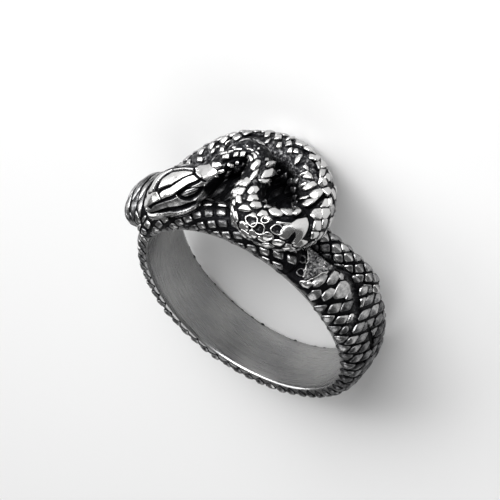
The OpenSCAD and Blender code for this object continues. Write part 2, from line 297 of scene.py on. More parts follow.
# The large scales under the panel
SHOULDER_SCALES = [
    (0.24, (-43.4, 2.35), (-43.2, 1.8), (-44.6, 1.1), (-46.2, 1.1), (-46.8, 1.8), (-46.3, 2.3),
     (-45, 2.5)),
    (0.24, (-48, 1.45), (-47.2, 0.8), (-47.5, 0.3), (-49.2, 0.2), (-50.6, 0.55), (-50.9, 1.1),
     (-49.2, 1.55)),
    (0.18, (-50.2, 0.25), (-50.5, -0.05), (-52, -0.05), (-52.8, 0.25), (-51.8, 0.5)),
    (0.24, (-46.6, 3.1), (-45.9, 2.8), (-48.2, 2.35), (-49.8, 2.5), (-50.1, 2.9), (-49.2, 3.15)),
    (0.24, (-50.4, 2.6), (-50, 2.2), (-50.8, 1.65), (-53.4, 1.35), (-53.8, 2.1), (-52.8, 2.65)),
    (0.24, (-52.8, 1.1), (-52.6, 0.6), (-54.2, 0.2), (-56.8, 0.15), (-59.4, 0.45), (-59.6, 0.8),
     (-55.8, 1.8), (-53.9, 1.8)),
]

# angle, across, radius of the rim
PANEL_RIMMED = [(-31.6, 2.3, 0.34), (-37.0, 2.3, 0.3), (-34.2, 1.3, 0.3)]
print("rows of the band's table:", len(BAND))

# %% [markdown]
# ## The tables of the snake
#
# The snake's body, the two strands and the head are round bodies along a line,
# so each row of a table is one cross-section. A smooth curve goes through the
# rows. Along it stands a frame: a direction, an outward direction and a sideways
# direction, from which the skin of a round body is measured.

# %% Tables of the body, the strands and the head
# angle, across, radius, half width, half height
BODY = [
    (72, -0.6, 9.9, 1.8, 0.6), (65, -0.4, 11.0, 2.2, 1.2), (58, 0.2, 11.6, 2.5, 1.55),
    (50, 0.2, 11.0, 2.8, 1.45), (42, -0.7, 10.7, 2.6, 1.3), (34, -1.9, 11.0, 2.1, 1.3),
    (25.5, -2.9, 11.4, 1.7, 1.35), (16.5, -3.8, 11.8, 1.55, 1.4),
    (7, -4.4, 12.1, 1.5, 1.4), (-2, -4.7, 12.3, 1.5, 1.45), (-10.5, -4.5, 12.5, 1.5, 1.45),
    (-17.5, -3.8, 12.6, 1.55, 1.5), (-24, -2.4, 12.7, 1.55, 1.5),
    (-26.5, -0.8, 12.8, 1.5, 1.5), (-25, 0.8, 12.9, 1.5, 1.45), (-20, 1.8, 12.9, 1.5, 1.4),
    (-14, 2.2, 12.9, 1.45, 1.35), (-8.5, 1.9, 13.0, 1.35, 1.3), (-5, 0.8, 13.2, 1.2, 1.2),
    (-3.8, -0.5, 13.5, 1.1, 1.1), (-3, -1.7, 13.9, 1.0, 1.0), (-0.5, -2.5, 14.1, 0.9, 0.9),
    (4, -2.6, 14.1, 0.85, 0.85), (8.5, -1.6, 13.7, 0.85, 0.75),
    (11.5, -0.7, 13.3, 0.85, 0.7), (14, 0.0, 13.05, 0.85, 0.65)]
NEAR_STRAND = [
    (58, 2.2, 10.2, 1.3, 0.9), (46, 2.2, 10.3, 1.25, 1.05), (32, 2.1, 10.3, 1.2, 1.15),
    (16, 1.9, 10.3, 1.2, 1.2), (0, 1.9, 10.3, 1.2, 1.2), (-14, 1.9, 10.3, 1.2, 1.2),
    (-26, 1.9, 10.3, 1.2, 1.15), (-34, 1.8, 10.2, 1.2, 1.0)]
FAR_STRAND = [
    (-12, -1.6, 10.3, 0.9, 1.0), (-24, -1.3, 10.3, 0.9, 1.0), (-36, -1.3, 10.3, 0.85, 1.0),
    (-48, -1.5, 10.3, 0.85, 1.0), (-60, -1.9, 10.3, 0.85, 1.0), (-72, -2.2, 10.2, 0.8, 0.9)]
# angle, across, radius, half width, height above the middle, depth below it
HEAD = [
    (11.2, -0.6, 13.2, 0.8, 0.65, 0.8), (13.0, -0.05, 12.95, 0.95, 0.95, 0.95),
    (15.6, 0.55, 12.75, 1.35, 1.4, 0.95), (19.2, 1.05, 12.6, 1.75, 1.65, 0.95),
    (22.8, 1.6, 12.5, 2.0, 1.7, 0.95), (26.6, 2.1, 12.6, 1.95, 1.5, 0.9),
    (29.9, 2.65, 12.5, 1.55, 1.05, 0.75), (33.0, 3.1, 12.3, 1.1, 0.65, 0.7),
    (35.2, 3.3, 12.3, 0.6, 0.35, 0.5)]
HEAD_LEAN = 14.0
print("rows of the body, the strands and the head:",
      [len(rows) for rows in (BODY, NEAR_STRAND, FAR_STRAND, HEAD)])

# %% A smooth curve through the rows of a table


def row_at(rows, u):
    """The smooth curve through a table, at fractional row numbers."""
    rows = np.asarray(rows, float)
    n = len(rows) - 1
    u = np.clip(np.asarray(u, float), 0, n)
    k = np.clip(np.floor(u).astype(int), 0, n - 1)
    f = (u - k)[..., None]
    a, b, c, d = rows[np.maximum(k - 1, 0)], rows[k], rows[k + 1], rows[np.minimum(k + 2, n)]
    return 0.5 * (2 * b + (c - a) * f + (2 * a - 5 * b + 4 * c - d) * f ** 2
                  + (3 * b - a - 3 * c + d) * f ** 3)


def middle_at(rows, u):
    """The middle line of a table, as points on the ring."""
    r = row_at(rows, u)
    return on_ring(r[..., 0], r[..., 1], r[..., 2])


def frame_at(rows, u):
    """Place, direction, outward and sideways directions, and the row itself."""
    n = len(rows) - 1
    row = row_at(rows, u)
    along = unit(middle_at(rows, np.minimum(u + 0.05, n))
                 - middle_at(rows, np.maximum(u - 0.05, 0)))
    out = on_ring(row[..., 0], 0, 1.0)
    up = unit(out - along * (out * along).sum(-1, keepdims=True))
    return middle_at(rows, u), along, up, np.cross(along, up), row


def walk(rows, fine=40):
    """Distance along a table of places against row numbers."""
    u = np.linspace(0, len(rows) - 1, (len(rows) - 1) * fine + 1)
    steps = np.linalg.norm(np.diff(middle_at(rows, u), axis=0), axis=1)
    return np.concatenate([[0], np.cumsum(steps)]), u


print("the snake's body is", round(walk(BODY)[0][-1], 1), "mm long")

# %% [markdown]
# ## Grooves that press scales down
#
# On the real ring a few smooth grooves run across the scales, cut into the wax
# before casting. Each is a short line of places with a half width, a depth and
# a polish. Near such a line the scales sink and vanish, and the skin below
# dips, so a groove has clean sides. A negative depth raises a smooth boss.

# %% Press grooves into a skin
UNROLL = 11.0


def line_of(places, count=60):
    """A smooth line through places on the band, unrolled to flat millimetres."""
    r = row_at(places, np.linspace(0, len(places) - 1, count))
    return np.stack([UNROLL * np.radians(r[:, 0]), r[:, 1]], -1)


def groove(line, half, depth, polish, taper=0.1):
    """A groove along a line of places, thinner towards its ends."""
    t = np.linspace(0, 1, len(line))
    return line, np.maximum(half * (4 * t * (1 - t)) ** taper, 0.03), depth, polish


def gap_to(one, points):
    """Distance from a groove in mm and in half widths; on the flat, minus is right."""
    line, halves = one[:2]
    way = np.gradient(line, axis=0)
    flat = points.reshape(-1, points.shape[-1])
    gap, share = np.empty(len(flat)), np.empty(len(flat))
    for start in range(0, len(flat), 20000):
        part = slice(start, start + 20000)
        away = flat[part, None] - line[None]
        near = (away ** 2).sum(-1).argmin(1)
        d = away[np.arange(len(near)), near]
        gap[part] = np.linalg.norm(d, axis=1)
        if d.shape[1] == 2:  # on the flat band
            gap[part] *= np.where(way[near, 0] * d[:, 1] < way[near, 1] * d[:, 0], -1, 1)
        share[part] = gap[part] / halves[near]
    return gap.reshape(points.shape[:-1]), share.reshape(points.shape[:-1])


def pressed(height, places, grooves, sink=0.0):
    """The height above a skin after its grooves are pressed in."""
    for one in grooves:
        d = np.abs(gap_to(one, places)[1])
        keep = ease(d, 0.8, 1.15)
        height = height * keep - sink * (1 - keep) - one[2] * ridge(d, 0, 1.15)
    return height


def groove_polish(polish, places, grooves):
    """The polish of a skin, with the polish of each groove along it."""
    for one in grooves:
        inside = 1 - ease(np.abs(gap_to(one, places)[1]), 0.75, 1.1)
        polish = polish * (1 - inside) + one[3] * inside
    return polish


band_grooves = [groove(line_of(ARC_HIGH), half=0.38, depth=0.28, polish=0.52, taper=0.2),
                groove(line_of(ARC_LOW), half=0.23, depth=0.3, polish=0.15, taper=0.6),
                groove(line_of(PANEL_TOP), half=0.17, depth=0.35, polish=0.0)]
print("grooves on the band:", len(band_grooves))

# %% [markdown]
# A scale that a groove crosses is cut in two. The points that lie in the groove
# or past it are drawn back towards the middle of the part, and the half way
# between is tried again and again, until they stand on the groove's bank. What
# is left as a thin sliver is dropped, as a graver would break it off.

# %% Cut scales along the grooves
BANK = 1.02
SLIVER = 0.3


def cut_scale(x, y, place_of, one):
    """The parts of a scale that a groove leaves on its two sides."""
    gap, share = gap_to(one, place_of(x, y))
    if np.abs(gap).min() > max(one[1].max(), 0.2):
        return [(x, y)]
    parts = []
    for way in (1, -1):
        kept = way * share > BANK
        if kept.sum() < SLIVER * len(x):
            continue
        back_x, back_y = x[kept].mean() - x, y[kept].mean() - y
        low, high = np.zeros(len(x)), np.ones(len(x))
        for _ in range(9):
            half = (low + high) / 2
            clear = way * gap_to(one, place_of(x + half * back_x, y + half * back_y))[1] > BANK
            low, high = np.where(clear, low, half), np.where(clear, half, high)
        move = np.where(kept, 0, high)
        parts.append((x + move * back_x, y + move * back_y))
    return parts


print("a part under", round(100 * SLIVER), "percent of a scale is dropped")

# %% [markdown]
# ## The skin of the band and of a body
#
# Two surfaces carry everything. The band is a dome that sweeps round the
# hole, with its near and far edges and its crown from the table. A body
# is a rounded tube along its own table. Both give a point from two numbers on
# the skin and a height above it.

# %% The surface of the band


def band_row(angle, column, spread):
    """A column of the band's table, smoothed over a spread of degrees."""
    wrapped = lambda a: (a + 180) % 360 - 180
    read = lambda a: np.interp(wrapped(a), BAND[:, 0], BAND[:, column])
    return (read(angle - spread) + 2 * read(angle) + read(angle + spread)) / 4


def arch_at(angle, slanted, across):
    """The angle at which the crown is read, on a dome that leans on the right."""
    leans = (angle < LEANS_TO) & (angle > LEANS_FROM)
    return slanted - np.where(leans, ARCH_SLOPE * (across - ARCH_MIDDLE), 0)


def dome_at(arch, q):
    """Radius of the dome, at a share of the half width from its middle line."""
    return RIM + (band_row(arch, 3, 1.5) - RIM) * (1 - q ** 2.4) ** (1 / 2.4)


def band_frame(angle, v):
    """Across, slanted angle, arch angle and share of the half width."""
    near, far = band_row(angle, 1, 6), band_row(angle, 2, 6)
    inside = np.clip(v, -1, 1)
    middle, half = (near + far) / 2, (near - far) / 2
    across = middle + half * (0.62 * inside + 0.38 * np.sin(np.pi / 2 * inside))
    slanted = angle - SLANT * across
    q = np.clip(np.abs(across - middle) / half, 0, 1)
    return across, slanted, arch_at(angle, slanted, across), q


def band_places(angle, v):
    """Places on the band, unrolled to flat millimetres."""
    across, slanted, _, _ = band_frame(angle, v)
    return np.stack([UNROLL * np.radians(slanted), across], -1)


def band_skin(angle, v, height, sink=0.0):
    """A point on the dome. v is -1 at the far edge and 1 at the near edge."""
    across, slanted, arch, q = band_frame(angle, v)
    height = pressed(height, band_places(angle, v), band_grooves, sink)
    over = np.clip(np.abs(v) - 1, 0, 1)
    across = across + np.sign(v) * 0.7 * height * q ** 6
    radius = dome_at(arch, q) + height * (1 - 0.6 * q ** 6) - 1.6 * over
    return on_ring(slanted, across, radius)


def band_at(slanted, across, height):
    """A point on the dome from its own angle and distance across."""
    angle = slanted + SLANT * across
    near, far = band_row(angle, 1, 6), band_row(angle, 2, 6)
    q = np.clip(np.abs(across - (near + far) / 2) / ((near - far) / 2), 0, 1)
    return on_ring(slanted, across, dome_at(arch_at(angle, slanted, across), q) + height)


print("crown of the right shoulder:", band_skin(np.array(-60.0), np.array(0.0), 0.0).round(2))

# %% [markdown]
# A strand or a coil is thicker than the band is deep, so its underside would
# stand in the hole. Points that come too near the hole are moved out into
# the band, where they don't show.

# %% The surface of a body
OVER_HOLE = 0.1


def clear_of_hole(point):
    """Points that would stand in the hole are moved out into the band."""
    radius = np.hypot(point[..., 0], point[..., 1])[..., None]
    out = np.maximum(radius, BORE + OVER_HOLE) / radius
    return point * np.where([True, True, False], out, 1.0)


def body_at(rows, u, turn, height):
    """A point on a body, at a fractional row of its table and an angle round it."""
    place, _, up, side, row = frame_at(rows, u)
    c, s = np.cos(np.radians(turn))[..., None], np.sin(np.radians(turn))[..., None]
    height = (height + 0 * np.asarray(turn, float))[..., None]
    point = place + side * c * (row[..., 3:4] + height) + up * s * (row[..., 4:5] + height)
    return clear_of_hole(point)


def body_skin(rows, run, along, turn, height, grooves=()):
    """The same, at a distance along the body and with its grooves pressed in."""
    u = np.interp(along, *run)
    if grooves:
        height = pressed(height, body_at(rows, u, turn, 0.0), grooves)
    return body_at(rows, u, turn, height)


def body_line(rows, places, count=40):
    """A smooth line of points through places of row and turn on a body."""
    r = row_at(places, np.linspace(0, len(places) - 1, count))
    return body_at(rows, r[:, 0], r[:, 1], 0.0)


print("top of the coil:", body_at(BODY, np.array(10.0), np.array(90.0), 0.0).round(2))

# %% [markdown]
# ## The metal
#
# Cast steel of this kind is dipped in a blackening bath and then polished. The
# bath leaves a dull black skin everywhere, and the wheel takes it off the high
# spots, which turn bright. A picture could be wrapped round the ring, but it
# would stretch. So the material is mixed from noise and from the two numbers
# that each piece carries on its points: *polish*, from 0 in a groove to 1 on
# top, and *grit*, for places that stay sandy. A few words for mixing come first.

# %% Words for mixing a metal


class MetalMix:
    """One metal and the nodes that it is mixed from."""

    def __init__(self, name):
        self.metal = bpy.data.materials.new(name)
        self.metal.use_nodes = True
        self.tree = self.metal.node_tree
        self.link = self.tree.links.new
        self.sockets = self.tree.nodes["Principled BSDF"].inputs
        self.sockets["Metallic"].default_value = 1.0
        self.place = self.node("ShaderNodeTexCoord").outputs["Object"]

    def node(self, kind, **settings):
        """A node, with its sockets and its settings filled in."""
        node = self.tree.nodes.new(kind)
        for name, value in settings.items():
            if name in node.inputs.keys():
                node.inputs[name].default_value = value
            else:
                setattr(node, name, value)
        return node

    def carried(self, name):
        """A number that the piece carries on its points."""
        return self.node("ShaderNodeAttribute", attribute_name=name).outputs["Fac"]

    def grain(self, scale, detail=3.0, roughness=0.6, stretch=None, turn=(0, 0, 0)):
        """Noise, which a stretch draws out into brush marks."""
        source = self.place
        if stretch:
            drawn = self.node("ShaderNodeMapping", Scale=stretch, Rotation=turn)
            self.link(source, drawn.inputs["Vector"])
            source = drawn.outputs["Vector"]
        noise = self.node("ShaderNodeTexNoise", Scale=scale, Detail=detail, Roughness=roughness)
        self.link(source, noise.inputs["Vector"])
        return noise.outputs["Fac"]

    def maths(self, kind, a, b):
        """A sum of two sockets or numbers."""
        node = self.node("ShaderNodeMath", operation=kind)
        for socket, value in zip(node.inputs, (a, b)):
            if isinstance(value, (int, float)):
                socket.default_value = value
            else:
                self.link(value, socket)
        return node.outputs[0]

    def vary(self, value, grain, amount, middle=0.5):
        """A value that a grain moves up and down by an amount."""
        moved = self.maths("MULTIPLY", self.maths("SUBTRACT", grain, middle), amount)
        return self.maths("ADD", value, moved)

    def shades(self, value, stops):
        """A ramp of shades against a value."""
        node = self.node("ShaderNodeValToRGB")
        ramp = node.color_ramp
        while len(ramp.elements) < len(stops):
            ramp.elements.new(0.5)
        for element, (at, shade) in zip(ramp.elements, stops):
            element.position = at
            element.color = (*shade, 1)
        self.link(value, node.inputs["Fac"])
        return node.outputs["Color"]

    def emboss(self, height, distance, strength):
        """Presses a grain into the metal."""
        bump = self.node("ShaderNodeBump", Distance=distance, Strength=strength)
        self.link(height, bump.inputs["Height"])
        self.link(bump.outputs["Normal"], self.sockets["Normal"])


print("a metal is mixed with:", [word for word in vars(MetalMix) if word[0] != "_"])

# %% [markdown]
# Three grains break the border between black and bright: wide blotches, a
# mottle and fine specks. Sandy places get more of them, and pits that catch the
# oxide. The brightest metal is the smoothest, with fine scratches through it.

# %% Mix the blackened and polished steel
OXIDE, DULL = (0.006, 0.006, 0.007), (0.035, 0.035, 0.037)
WORN, BRIGHT = (0.2, 0.2, 0.203), (0.6, 0.595, 0.59)


def cast_metal(name):
    """Blackened cast steel with polished high spots."""
    mix = MetalMix(name)
    polish, grit = mix.carried("polish"), mix.carried("grit")
    blotch, mottle, speck = mix.grain(900), mix.grain(3000, 3.0, 0.65), mix.grain(9000, 2.0)
    bright = mix.vary(polish, blotch, 0.5)
    for grain, on_sand, anywhere in ((mottle, 1.3, 0.5), (speck, 1.2, 0.3)):
        bright = mix.vary(bright, grain,
                          mix.maths("ADD", mix.maths("MULTIPLY", grit, on_sand), anywhere))
    pits = mix.maths("MULTIPLY", grit, mix.maths("MULTIPLY", speck, 0.5))
    bright = mix.maths("SUBTRACT", bright, pits)
    mix.link(mix.shades(bright, [(0.22, OXIDE), (0.45, DULL), (0.68, WORN), (1.0, BRIGHT)]),
             mix.sockets["Base Color"])

    rough = mix.shades(bright, [(0.2, (0.5,) * 3), (0.55, (0.36,) * 3), (1.0, (0.18,) * 3)])
    scratch = mix.grain(2600, 2.0, 0.5, (1.0, 9.0, 1.0), (0.5, 0.3, 0.9))
    mix.link(mix.vary(rough, scratch, 0.16, 0.45), mix.sockets["Roughness"])

    sand = mix.maths("ADD", mix.grain(5200, 3.0, 0.7), mix.maths("MULTIPLY", speck, 0.4))
    mix.emboss(mix.maths("MULTIPLY", sand, mix.maths("ADD", grit, 0.03)), 0.00014, 0.9)
    return mix.metal


ring_metal = cast_metal("blackened_polished_steel")
print("metal mixed from", len(ring_metal.node_tree.nodes), "nodes")

# %% [markdown]
# The wall of the hole is never blackened for long. Wear rubs it bright, so it is
# an even grey, brushed round and round. The noise is turned as the ring lies and
# drawn out round the hole.

# %% Mix the worn steel of the hole


def worn_hole_metal(name):
    """The wall of the hole, brushed round and polished by wear."""
    mix = MetalMix(name)
    brushed = mix.grain(3500.0, 3.0, 0.5, (0.12, 0.12, 4.0),
                        (math.radians(10), math.radians(-1), 0))
    cloud = mix.grain(260.0, 2.0, 0.5)
    mix.link(mix.shades(cloud, [(0.3, (0.30, 0.30, 0.305)), (0.7, (0.42, 0.418, 0.415))]),
             mix.sockets["Base Color"])
    mix.link(mix.shades(brushed, [(0.3, (0.2,) * 3), (0.7, (0.36,) * 3)]),
             mix.sockets["Roughness"])
    mix.emboss(brushed, 0.00001, 0.4)
    return mix.metal


hole_metal = worn_hole_metal("worn_steel_of_the_hole")
print("metal of the hole mixed from", len(hole_metal.node_tree.nodes), "nodes")

# %% [markdown]
# ## The core of the band
#
# The core is the metal under the scales. It could be swept from one profile,
# but the profile changes all the way round. So a torus is the blank: it is
# closed, and each of its points already has an angle round the ring and an angle
# round the wire. The outer two thirds of the wire become the dome, and the inner
# third becomes the plain wall of the hole, with softly broken edges.

# %% Bend the blank's outer side to the dome
WIRE = 10.0
DOME_SHARE = 120.0
band_core = new_blank(bpy.ops.mesh.primitive_torus_add, major_segments=420,
                      minor_segments=72, major_radius=WIRE, minor_radius=1.0)
blank = points_of(band_core)
round_ring = np.degrees(np.arctan2(blank[:, 0], -blank[:, 1]))
round_wire = np.degrees(np.arctan2(blank[:, 2], np.hypot(blank[:, 0], blank[:, 1]) - WIRE))
v = round_wire / DOME_SHARE
on_dome = np.clip(v, -1, 1)
dome_points = band_skin(round_ring, on_dome, 0.0)
across, slanted, arch, _ = band_frame(round_ring, on_dome)
print("points of the blank on the dome:", int((np.abs(v) <= 1).sum()))

# %% Bend its inner side to the wall of the hole
EDGE_BREAK, EDGE_TURN = 0.12, 0.08
near, near_angle = band_frame(round_ring, np.full_like(v, 1.0))[:2]
far, far_angle = band_frame(round_ring, np.full_like(v, -1.0))[:2]
inside = np.abs(v) > 1
share = np.clip((np.abs(v) - 1) * DOME_SHARE / (180 - DOME_SHARE), 0, 1)
edge, edge_angle = np.where(v > 0, near, far), np.where(v > 0, near_angle, far_angle)
middle = (near + far) / 2
inward = np.clip((share - EDGE_TURN) / (1 - EDGE_TURN), 0, 1)
wall_across = edge + (middle - edge) * inward
wall_angle = edge_angle + (round_ring - SLANT * middle - edge_angle) * inward
wall_radius = RIM + (BORE - RIM) * ease(share / EDGE_BREAK, 0, 1)
bend(band_core, np.where(inside[:, None], on_ring(wall_angle, wall_across, wall_radius),
                         dome_points))
print("points on the wall of the hole:", int(inside.sum()))

# %% [markdown]
# ## Marks on the core
#
# The ground between the scales stays black and a little sandy. The panel on the
# right shoulder was stippled with a punch, so it has the most grit, and its
# border bends as the hand-cut one does. The grooves bring their own polish.

# %% Mark the band's black ground, its sandy panel and its polished hole
plain = ease(arch, PLAIN_FROM - 1, PLAIN_FROM + 1) * (1 - ease(arch, PLAIN_TO - 1, PLAIN_TO + 1))
panel_start = np.interp(across, [0.3, 0.65, 1.05, 1.5, 2.45], [32.5, 35, 36.8, 37.4, 39.5])
panel = plain * ease(-slanted, panel_start - 0.5, panel_start + 0.5) * (across > -1.0) * ~inside
polish = groove_polish(0.12 + 0.72 * panel, band_places(round_ring, on_dome), band_grooves)
mark(band_core, "polish", np.where(inside, 0.75, polish))
mark(band_core, "grit", np.where(inside, 0.0, 0.25 + 0.6 * panel))
face_outwards(band_core)
in_hole = [np.hypot(*f.center[:2]) < RIM - 0.12 for f in band_core.data.polygons]
finish_piece(band_core, "band_core", ring_metal)
band_core.data.materials.append(hole_metal)
band_core.data.polygons.foreach_set("material_index", np.array(in_hole, int))

# %% [markdown]
# ## One scale
#
# Every scale is the same small pillow, so one is modelled and copied. A square
# plate has its corners rounded with a bevel, and its face is then extruded and
# narrowed in four steps: a steep side, a round shoulder and a low crown. Its
# middle is poked, so that the crown is a shallow point.

# %% Model one scale
SCALE_CORNER = 0.42
# rise and size of each step
SCALE_STEPS = [(0.4, 0.97), (0.26, 0.93), (0.2, 0.8), (0.14, 0.6)]
SCALE_CROWN = 0.1

scale = new_blank(bpy.ops.mesh.primitive_plane_add, size=2)
bpy.ops.object.mode_set(mode="EDIT")
bpy.ops.mesh.select_all(action="SELECT")
bpy.ops.mesh.bevel(offset=SCALE_CORNER, segments=2, affect="VERTICES")
raise_face(SCALE_STEPS, SCALE_CROWN)
scale_points = points_of(scale)
mark(scale, "polish", 0.0)
mark(scale, "grit", 0.12 * (1 - ease(scale_points[:, 2], 0.6, 1.0)))
print("one scale has", len(scale.data.polygons), "faces, height",
      round(float(scale_points[:, 2].max()), 2))

# %% [markdown]
# ## Laying the scales
#
# The skin is ruled like a net of diamonds. A copy of the scale goes to every
# second crossing and is bent to the skin there, because a flat copy would stand
# off a round body. A little random height and tilt, from a fixed seed, gives
# the uneven sparkle of hand-cut wax. Each copy sinks slightly into the skin, so
# no gap shows under its edge.

# %% Lay copies of the scale over a skin
SINK, LOOSE = 0.05, 0.05


def join_copies(places, polishes, name):
    """One copy of the scale for each set of places, with painted shade on one half."""
    x, y, z = scale_points.T
    # Painted shade: the polish drops on one side of every face, inside its bright edge.
    painted_shade_half = ease((x - y) / 2, 0.05, 0.35) * (1 - ease(np.maximum(abs(x), abs(y)), 0.74, 0.85))
    base = ease(z, 0.22, 0.7) - 0.3 * painted_shade_half
    copies = []
    for points, own in zip(places, polishes):
        one = copy_of(scale)
        bend(one, points)
        mark(one, "polish", base * own)
        copies.append(one)
    return joined(copies, name, "scales")


def lay_scales(cells, skin, name, fill, height, seed, polish, place_of=None, cuts=()):
    """cells are (row, column) crossings, and skin turns them into points."""
    chance = np.random.default_rng(seed)
    cells = np.asarray(cells, float)
    count = len(cells)
    size = fill * chance.uniform(0.93, 1.03, (count, 2))
    s, t = scale_points[None, :, 0] * size[:, :1], scale_points[None, :, 1] * size[:, 1:]
    off = chance.normal(0, LOOSE, (count, 2))
    x, y, z = (s + t) / 2 + off[:, :1], (s - t) / 2 + off[:, 1:], scale_points[None, :, 2]
    tall = height * chance.uniform(0.8, 1.15, (count, 1))
    tilt = chance.normal(0, 0.22, (count, 2))
    lift = -SINK + z * tall * (1 + tilt[:, :1] * x + tilt[:, 1:] * y)
    x, y = cells[:, :1] + x, cells[:, 1:] + y
    own = polish * chance.uniform(0.78, 1.08, count)
    for one in cuts:
        parts = [(k, *part) for k in range(len(x))
                 for part in cut_scale(x[k], y[k], place_of, one)]
        which = [part[0] for part in parts]
        x, y = (np.array([part[n] for part in parts]) for n in (1, 2))
        lift, own = lift[which], own[which]
    return join_copies(skin(x, y, lift), own, name)


print("scales sink", SINK, "mm into the skin")

# %% [markdown]
# ## Scales of the band
#
# The long way of each diamond lies across the band, leaning a little, and the
# rows run on round the whole ring. The saddle under the coil gets low scales,
# darkened by painted shade under the coil, and the sandy panel stays bare.
# Beside the panel the net makes room for the large scales of the shoulder,
# which are laid one by one later.

# %% Rule the net of the band
BAND_ROWS, BAND_COLUMNS = 112, 6
BAND_START = -180.0 - 0.8 * 360 / BAND_ROWS
ROOM_ON_BAND = 0.8


def band_net(i, j):
    """Angle and share of the half width at the crossings of the net."""
    return BAND_START + 360 * i / BAND_ROWS, 2 * j / BAND_COLUMNS - 1


def band_cell(i, j, height):
    """A point over the net, which sinks out of sight in the grooves."""
    return band_skin(*band_net(i, j), height, sink=0.08)


def band_cell_place(i, j):
    """The same crossing, unrolled to flat millimetres."""
    return band_places(*band_net(i, j))


cells = np.array([(i, j) for i in range(BAND_ROWS) for j in range(BAND_COLUMNS + 1)
                  if (i + j) % 2])
angles, shares = band_net(*cells.T)
arches = band_frame(angles, shares)[2]
saddle = (arches > SADDLE_FROM) & (arches < PLAIN_TO)
bare = (arches > PLAIN_FROM) & (arches <= SADDLE_FROM)

by_hand = np.array([np.mean(corners, 0) for _, *corners in PANEL_FACETS + SHOULDER_SCALES])
by_hand[:, 0] = UNROLL * np.radians(by_hand[:, 0])
gap = np.linalg.norm(band_cell_place(*cells.T)[:, None] - by_hand, axis=-1).min(1)
bare |= (gap < ROOM_ON_BAND) & (arches < PLAIN_FROM)
print("crossings in the net:", len(cells), "of them bare:", int(bare.sum()))

# %% Lay the scales of the band
open_band = ~bare & ~saddle
# Painted shade: the band's scales are darker from -70 to -175 degrees round.
polish_with_painted_shade = 0.85 - 0.22 * ease(-angles, 70, 100) * (1 - ease(-angles, 150, 175))
band_scales = lay_scales(cells[open_band], band_cell, "band_scales", height=0.27, seed=3,
                         fill=(0.96, 0.85), polish=polish_with_painted_shade[open_band],
                         place_of=band_cell_place, cuts=band_grooves)
finish_piece(band_scales, "band_scales", ring_metal)
# Painted shade: the saddle's scales under the coil get a low polish of 0.45.
saddle_scales = lay_scales(cells[saddle], band_cell, "saddle_scales", height=0.14, seed=4,
                           fill=(0.8, 0.7), polish=0.45)
finish_piece(saddle_scales, "saddle_scales", ring_metal)

# %% [markdown]
# ## Bodies
#
# The coil, the neck and the two strands are all made alike. A sphere is the
# blank: its rings become rings of the body and its poles close the ends. The
# top of the coil is sandier and a little brighter than the sides.

# %% Model the core of a body
ROUND_END = 0.5


def model_body(rows, name, rings, sides, grooves=(), polish=0.1, top_polish=0.1):
    run = walk(rows)
    core = new_blank(bpy.ops.mesh.primitive_uv_sphere_add, segments=sides,
                     ring_count=rings, radius=1)
    p = points_of(core)
    from_pole = np.degrees(np.arccos(np.clip(p[:, 2], -1, 1))) / 180
    turn = np.degrees(np.arctan2(p[:, 1], p[:, 0]))
    total = run[0][-1]
    u = np.interp(from_pole * total, *run)
    from_end = np.minimum(from_pole, 1 - from_pole) * total / ROUND_END
    narrow = np.sqrt(np.clip(1 - np.clip(1 - from_end, 0, 1) ** 2, 0, 1))
    place = middle_at(rows, u)
    skin = body_skin(rows, run, from_pole * total, turn, 0.0, grooves)
    top = ease(np.sin(np.radians(turn)), 0.0, 0.6)
    brighter = top * ease(u, 4.5, 5.5) * (1 - 0.3 * ease(u, 11.6, 12.4))
    base = polish + (top_polish - polish) * brighter
    mark(core, "polish", groove_polish(base, body_at(rows, u, turn, 0.0), grooves))
    mark(core, "grit", 0.2 + 0.6 * top)
    bend(core, place + (skin - place) * narrow[:, None])
    face_outwards(core)
    finish_piece(core, name, ring_metal)
    return run


print("rows behind the three cores:", [len(rows) for rows in (BODY, NEAR_STRAND, FAR_STRAND)])

# %% [markdown]
# A net of scales is laid along a body, a step in millimetres by a step in
# degrees. Where scales are laid one by one, on the side that faces the camera,
# the net stays open.

# %% Lay a net of scales along a body
ROOM_ON_BODY = 0.3


def scale_body(rows, run, name, step, turn_step, *, height, seed, start=0.0, stop=None,
               turns=(-30, 210), polish=1.0, fill=(0.9, 0.8), shear=0.0, skew=0.0,
               phase=0.0, bare_from=None, facing=0.62, keep_off=None):
    """Lays a net of scales along a body, a step in mm by a step in degrees."""
    stop = stop or run[0][-1]

    def skin(i, j, h):
        return body_skin(rows, run, start + i * step + j * skew,
                         phase + turn_step * j + shear * i, h)

    cells = []
    for i in range(-8, int((stop - start) / step) + 8):
        first = math.ceil((turns[0] - phase - shear * i) / turn_step)
        last = math.floor((turns[1] - phase - shear * i) / turn_step)
        cells += [(i, j) for j in range(first, last + 1)
                  if (i + j) % 2 and start + step < start + i * step + j * skew < stop - step / 2]
    cells = np.array(cells, float)
    if bare_from is not None:
        low, high = (skin(*cells.T, h) for h in (0.0, 0.1))
        seen = unit(high - low) @ np.array(to_camera) > facing
        gap = np.sqrt(((low[:, None] - keep_off[None]) ** 2).sum(-1)).min(1)
        by_hand = (seen | (gap < ROOM_ON_BODY)) & (start + cells[:, 0] * step > bare_from)
        cells = cells[~by_hand]
    whole = lay_scales(cells, skin, name, fill=fill, height=height, seed=seed,
                       polish=polish)
    finish_piece(whole, name, ring_metal)


print("the net keeps", ROOM_ON_BODY, "mm away from scales laid by hand")

# %% [markdown]
# ## Facets
#
# The scales that were cut one by one are flat-topped plates with four to eleven
# corners. A disc is their blank, with three points of its outline for each
# corner, and it is raised and narrowed like the scale. Each copy is then bent to
# its own corners on the skin, and its top tilts a little, so that no two catch
# the light alike.

# %% Model a facet and lay facets by their corners
FACET_STEPS = [(0.56, 0.985), (0.24, 0.95), (0.09, 0.85), (0.08, 0.5)]
FACET_CROWN = 0.03
CORNER_CUT = 0.1
facet_blanks = {}


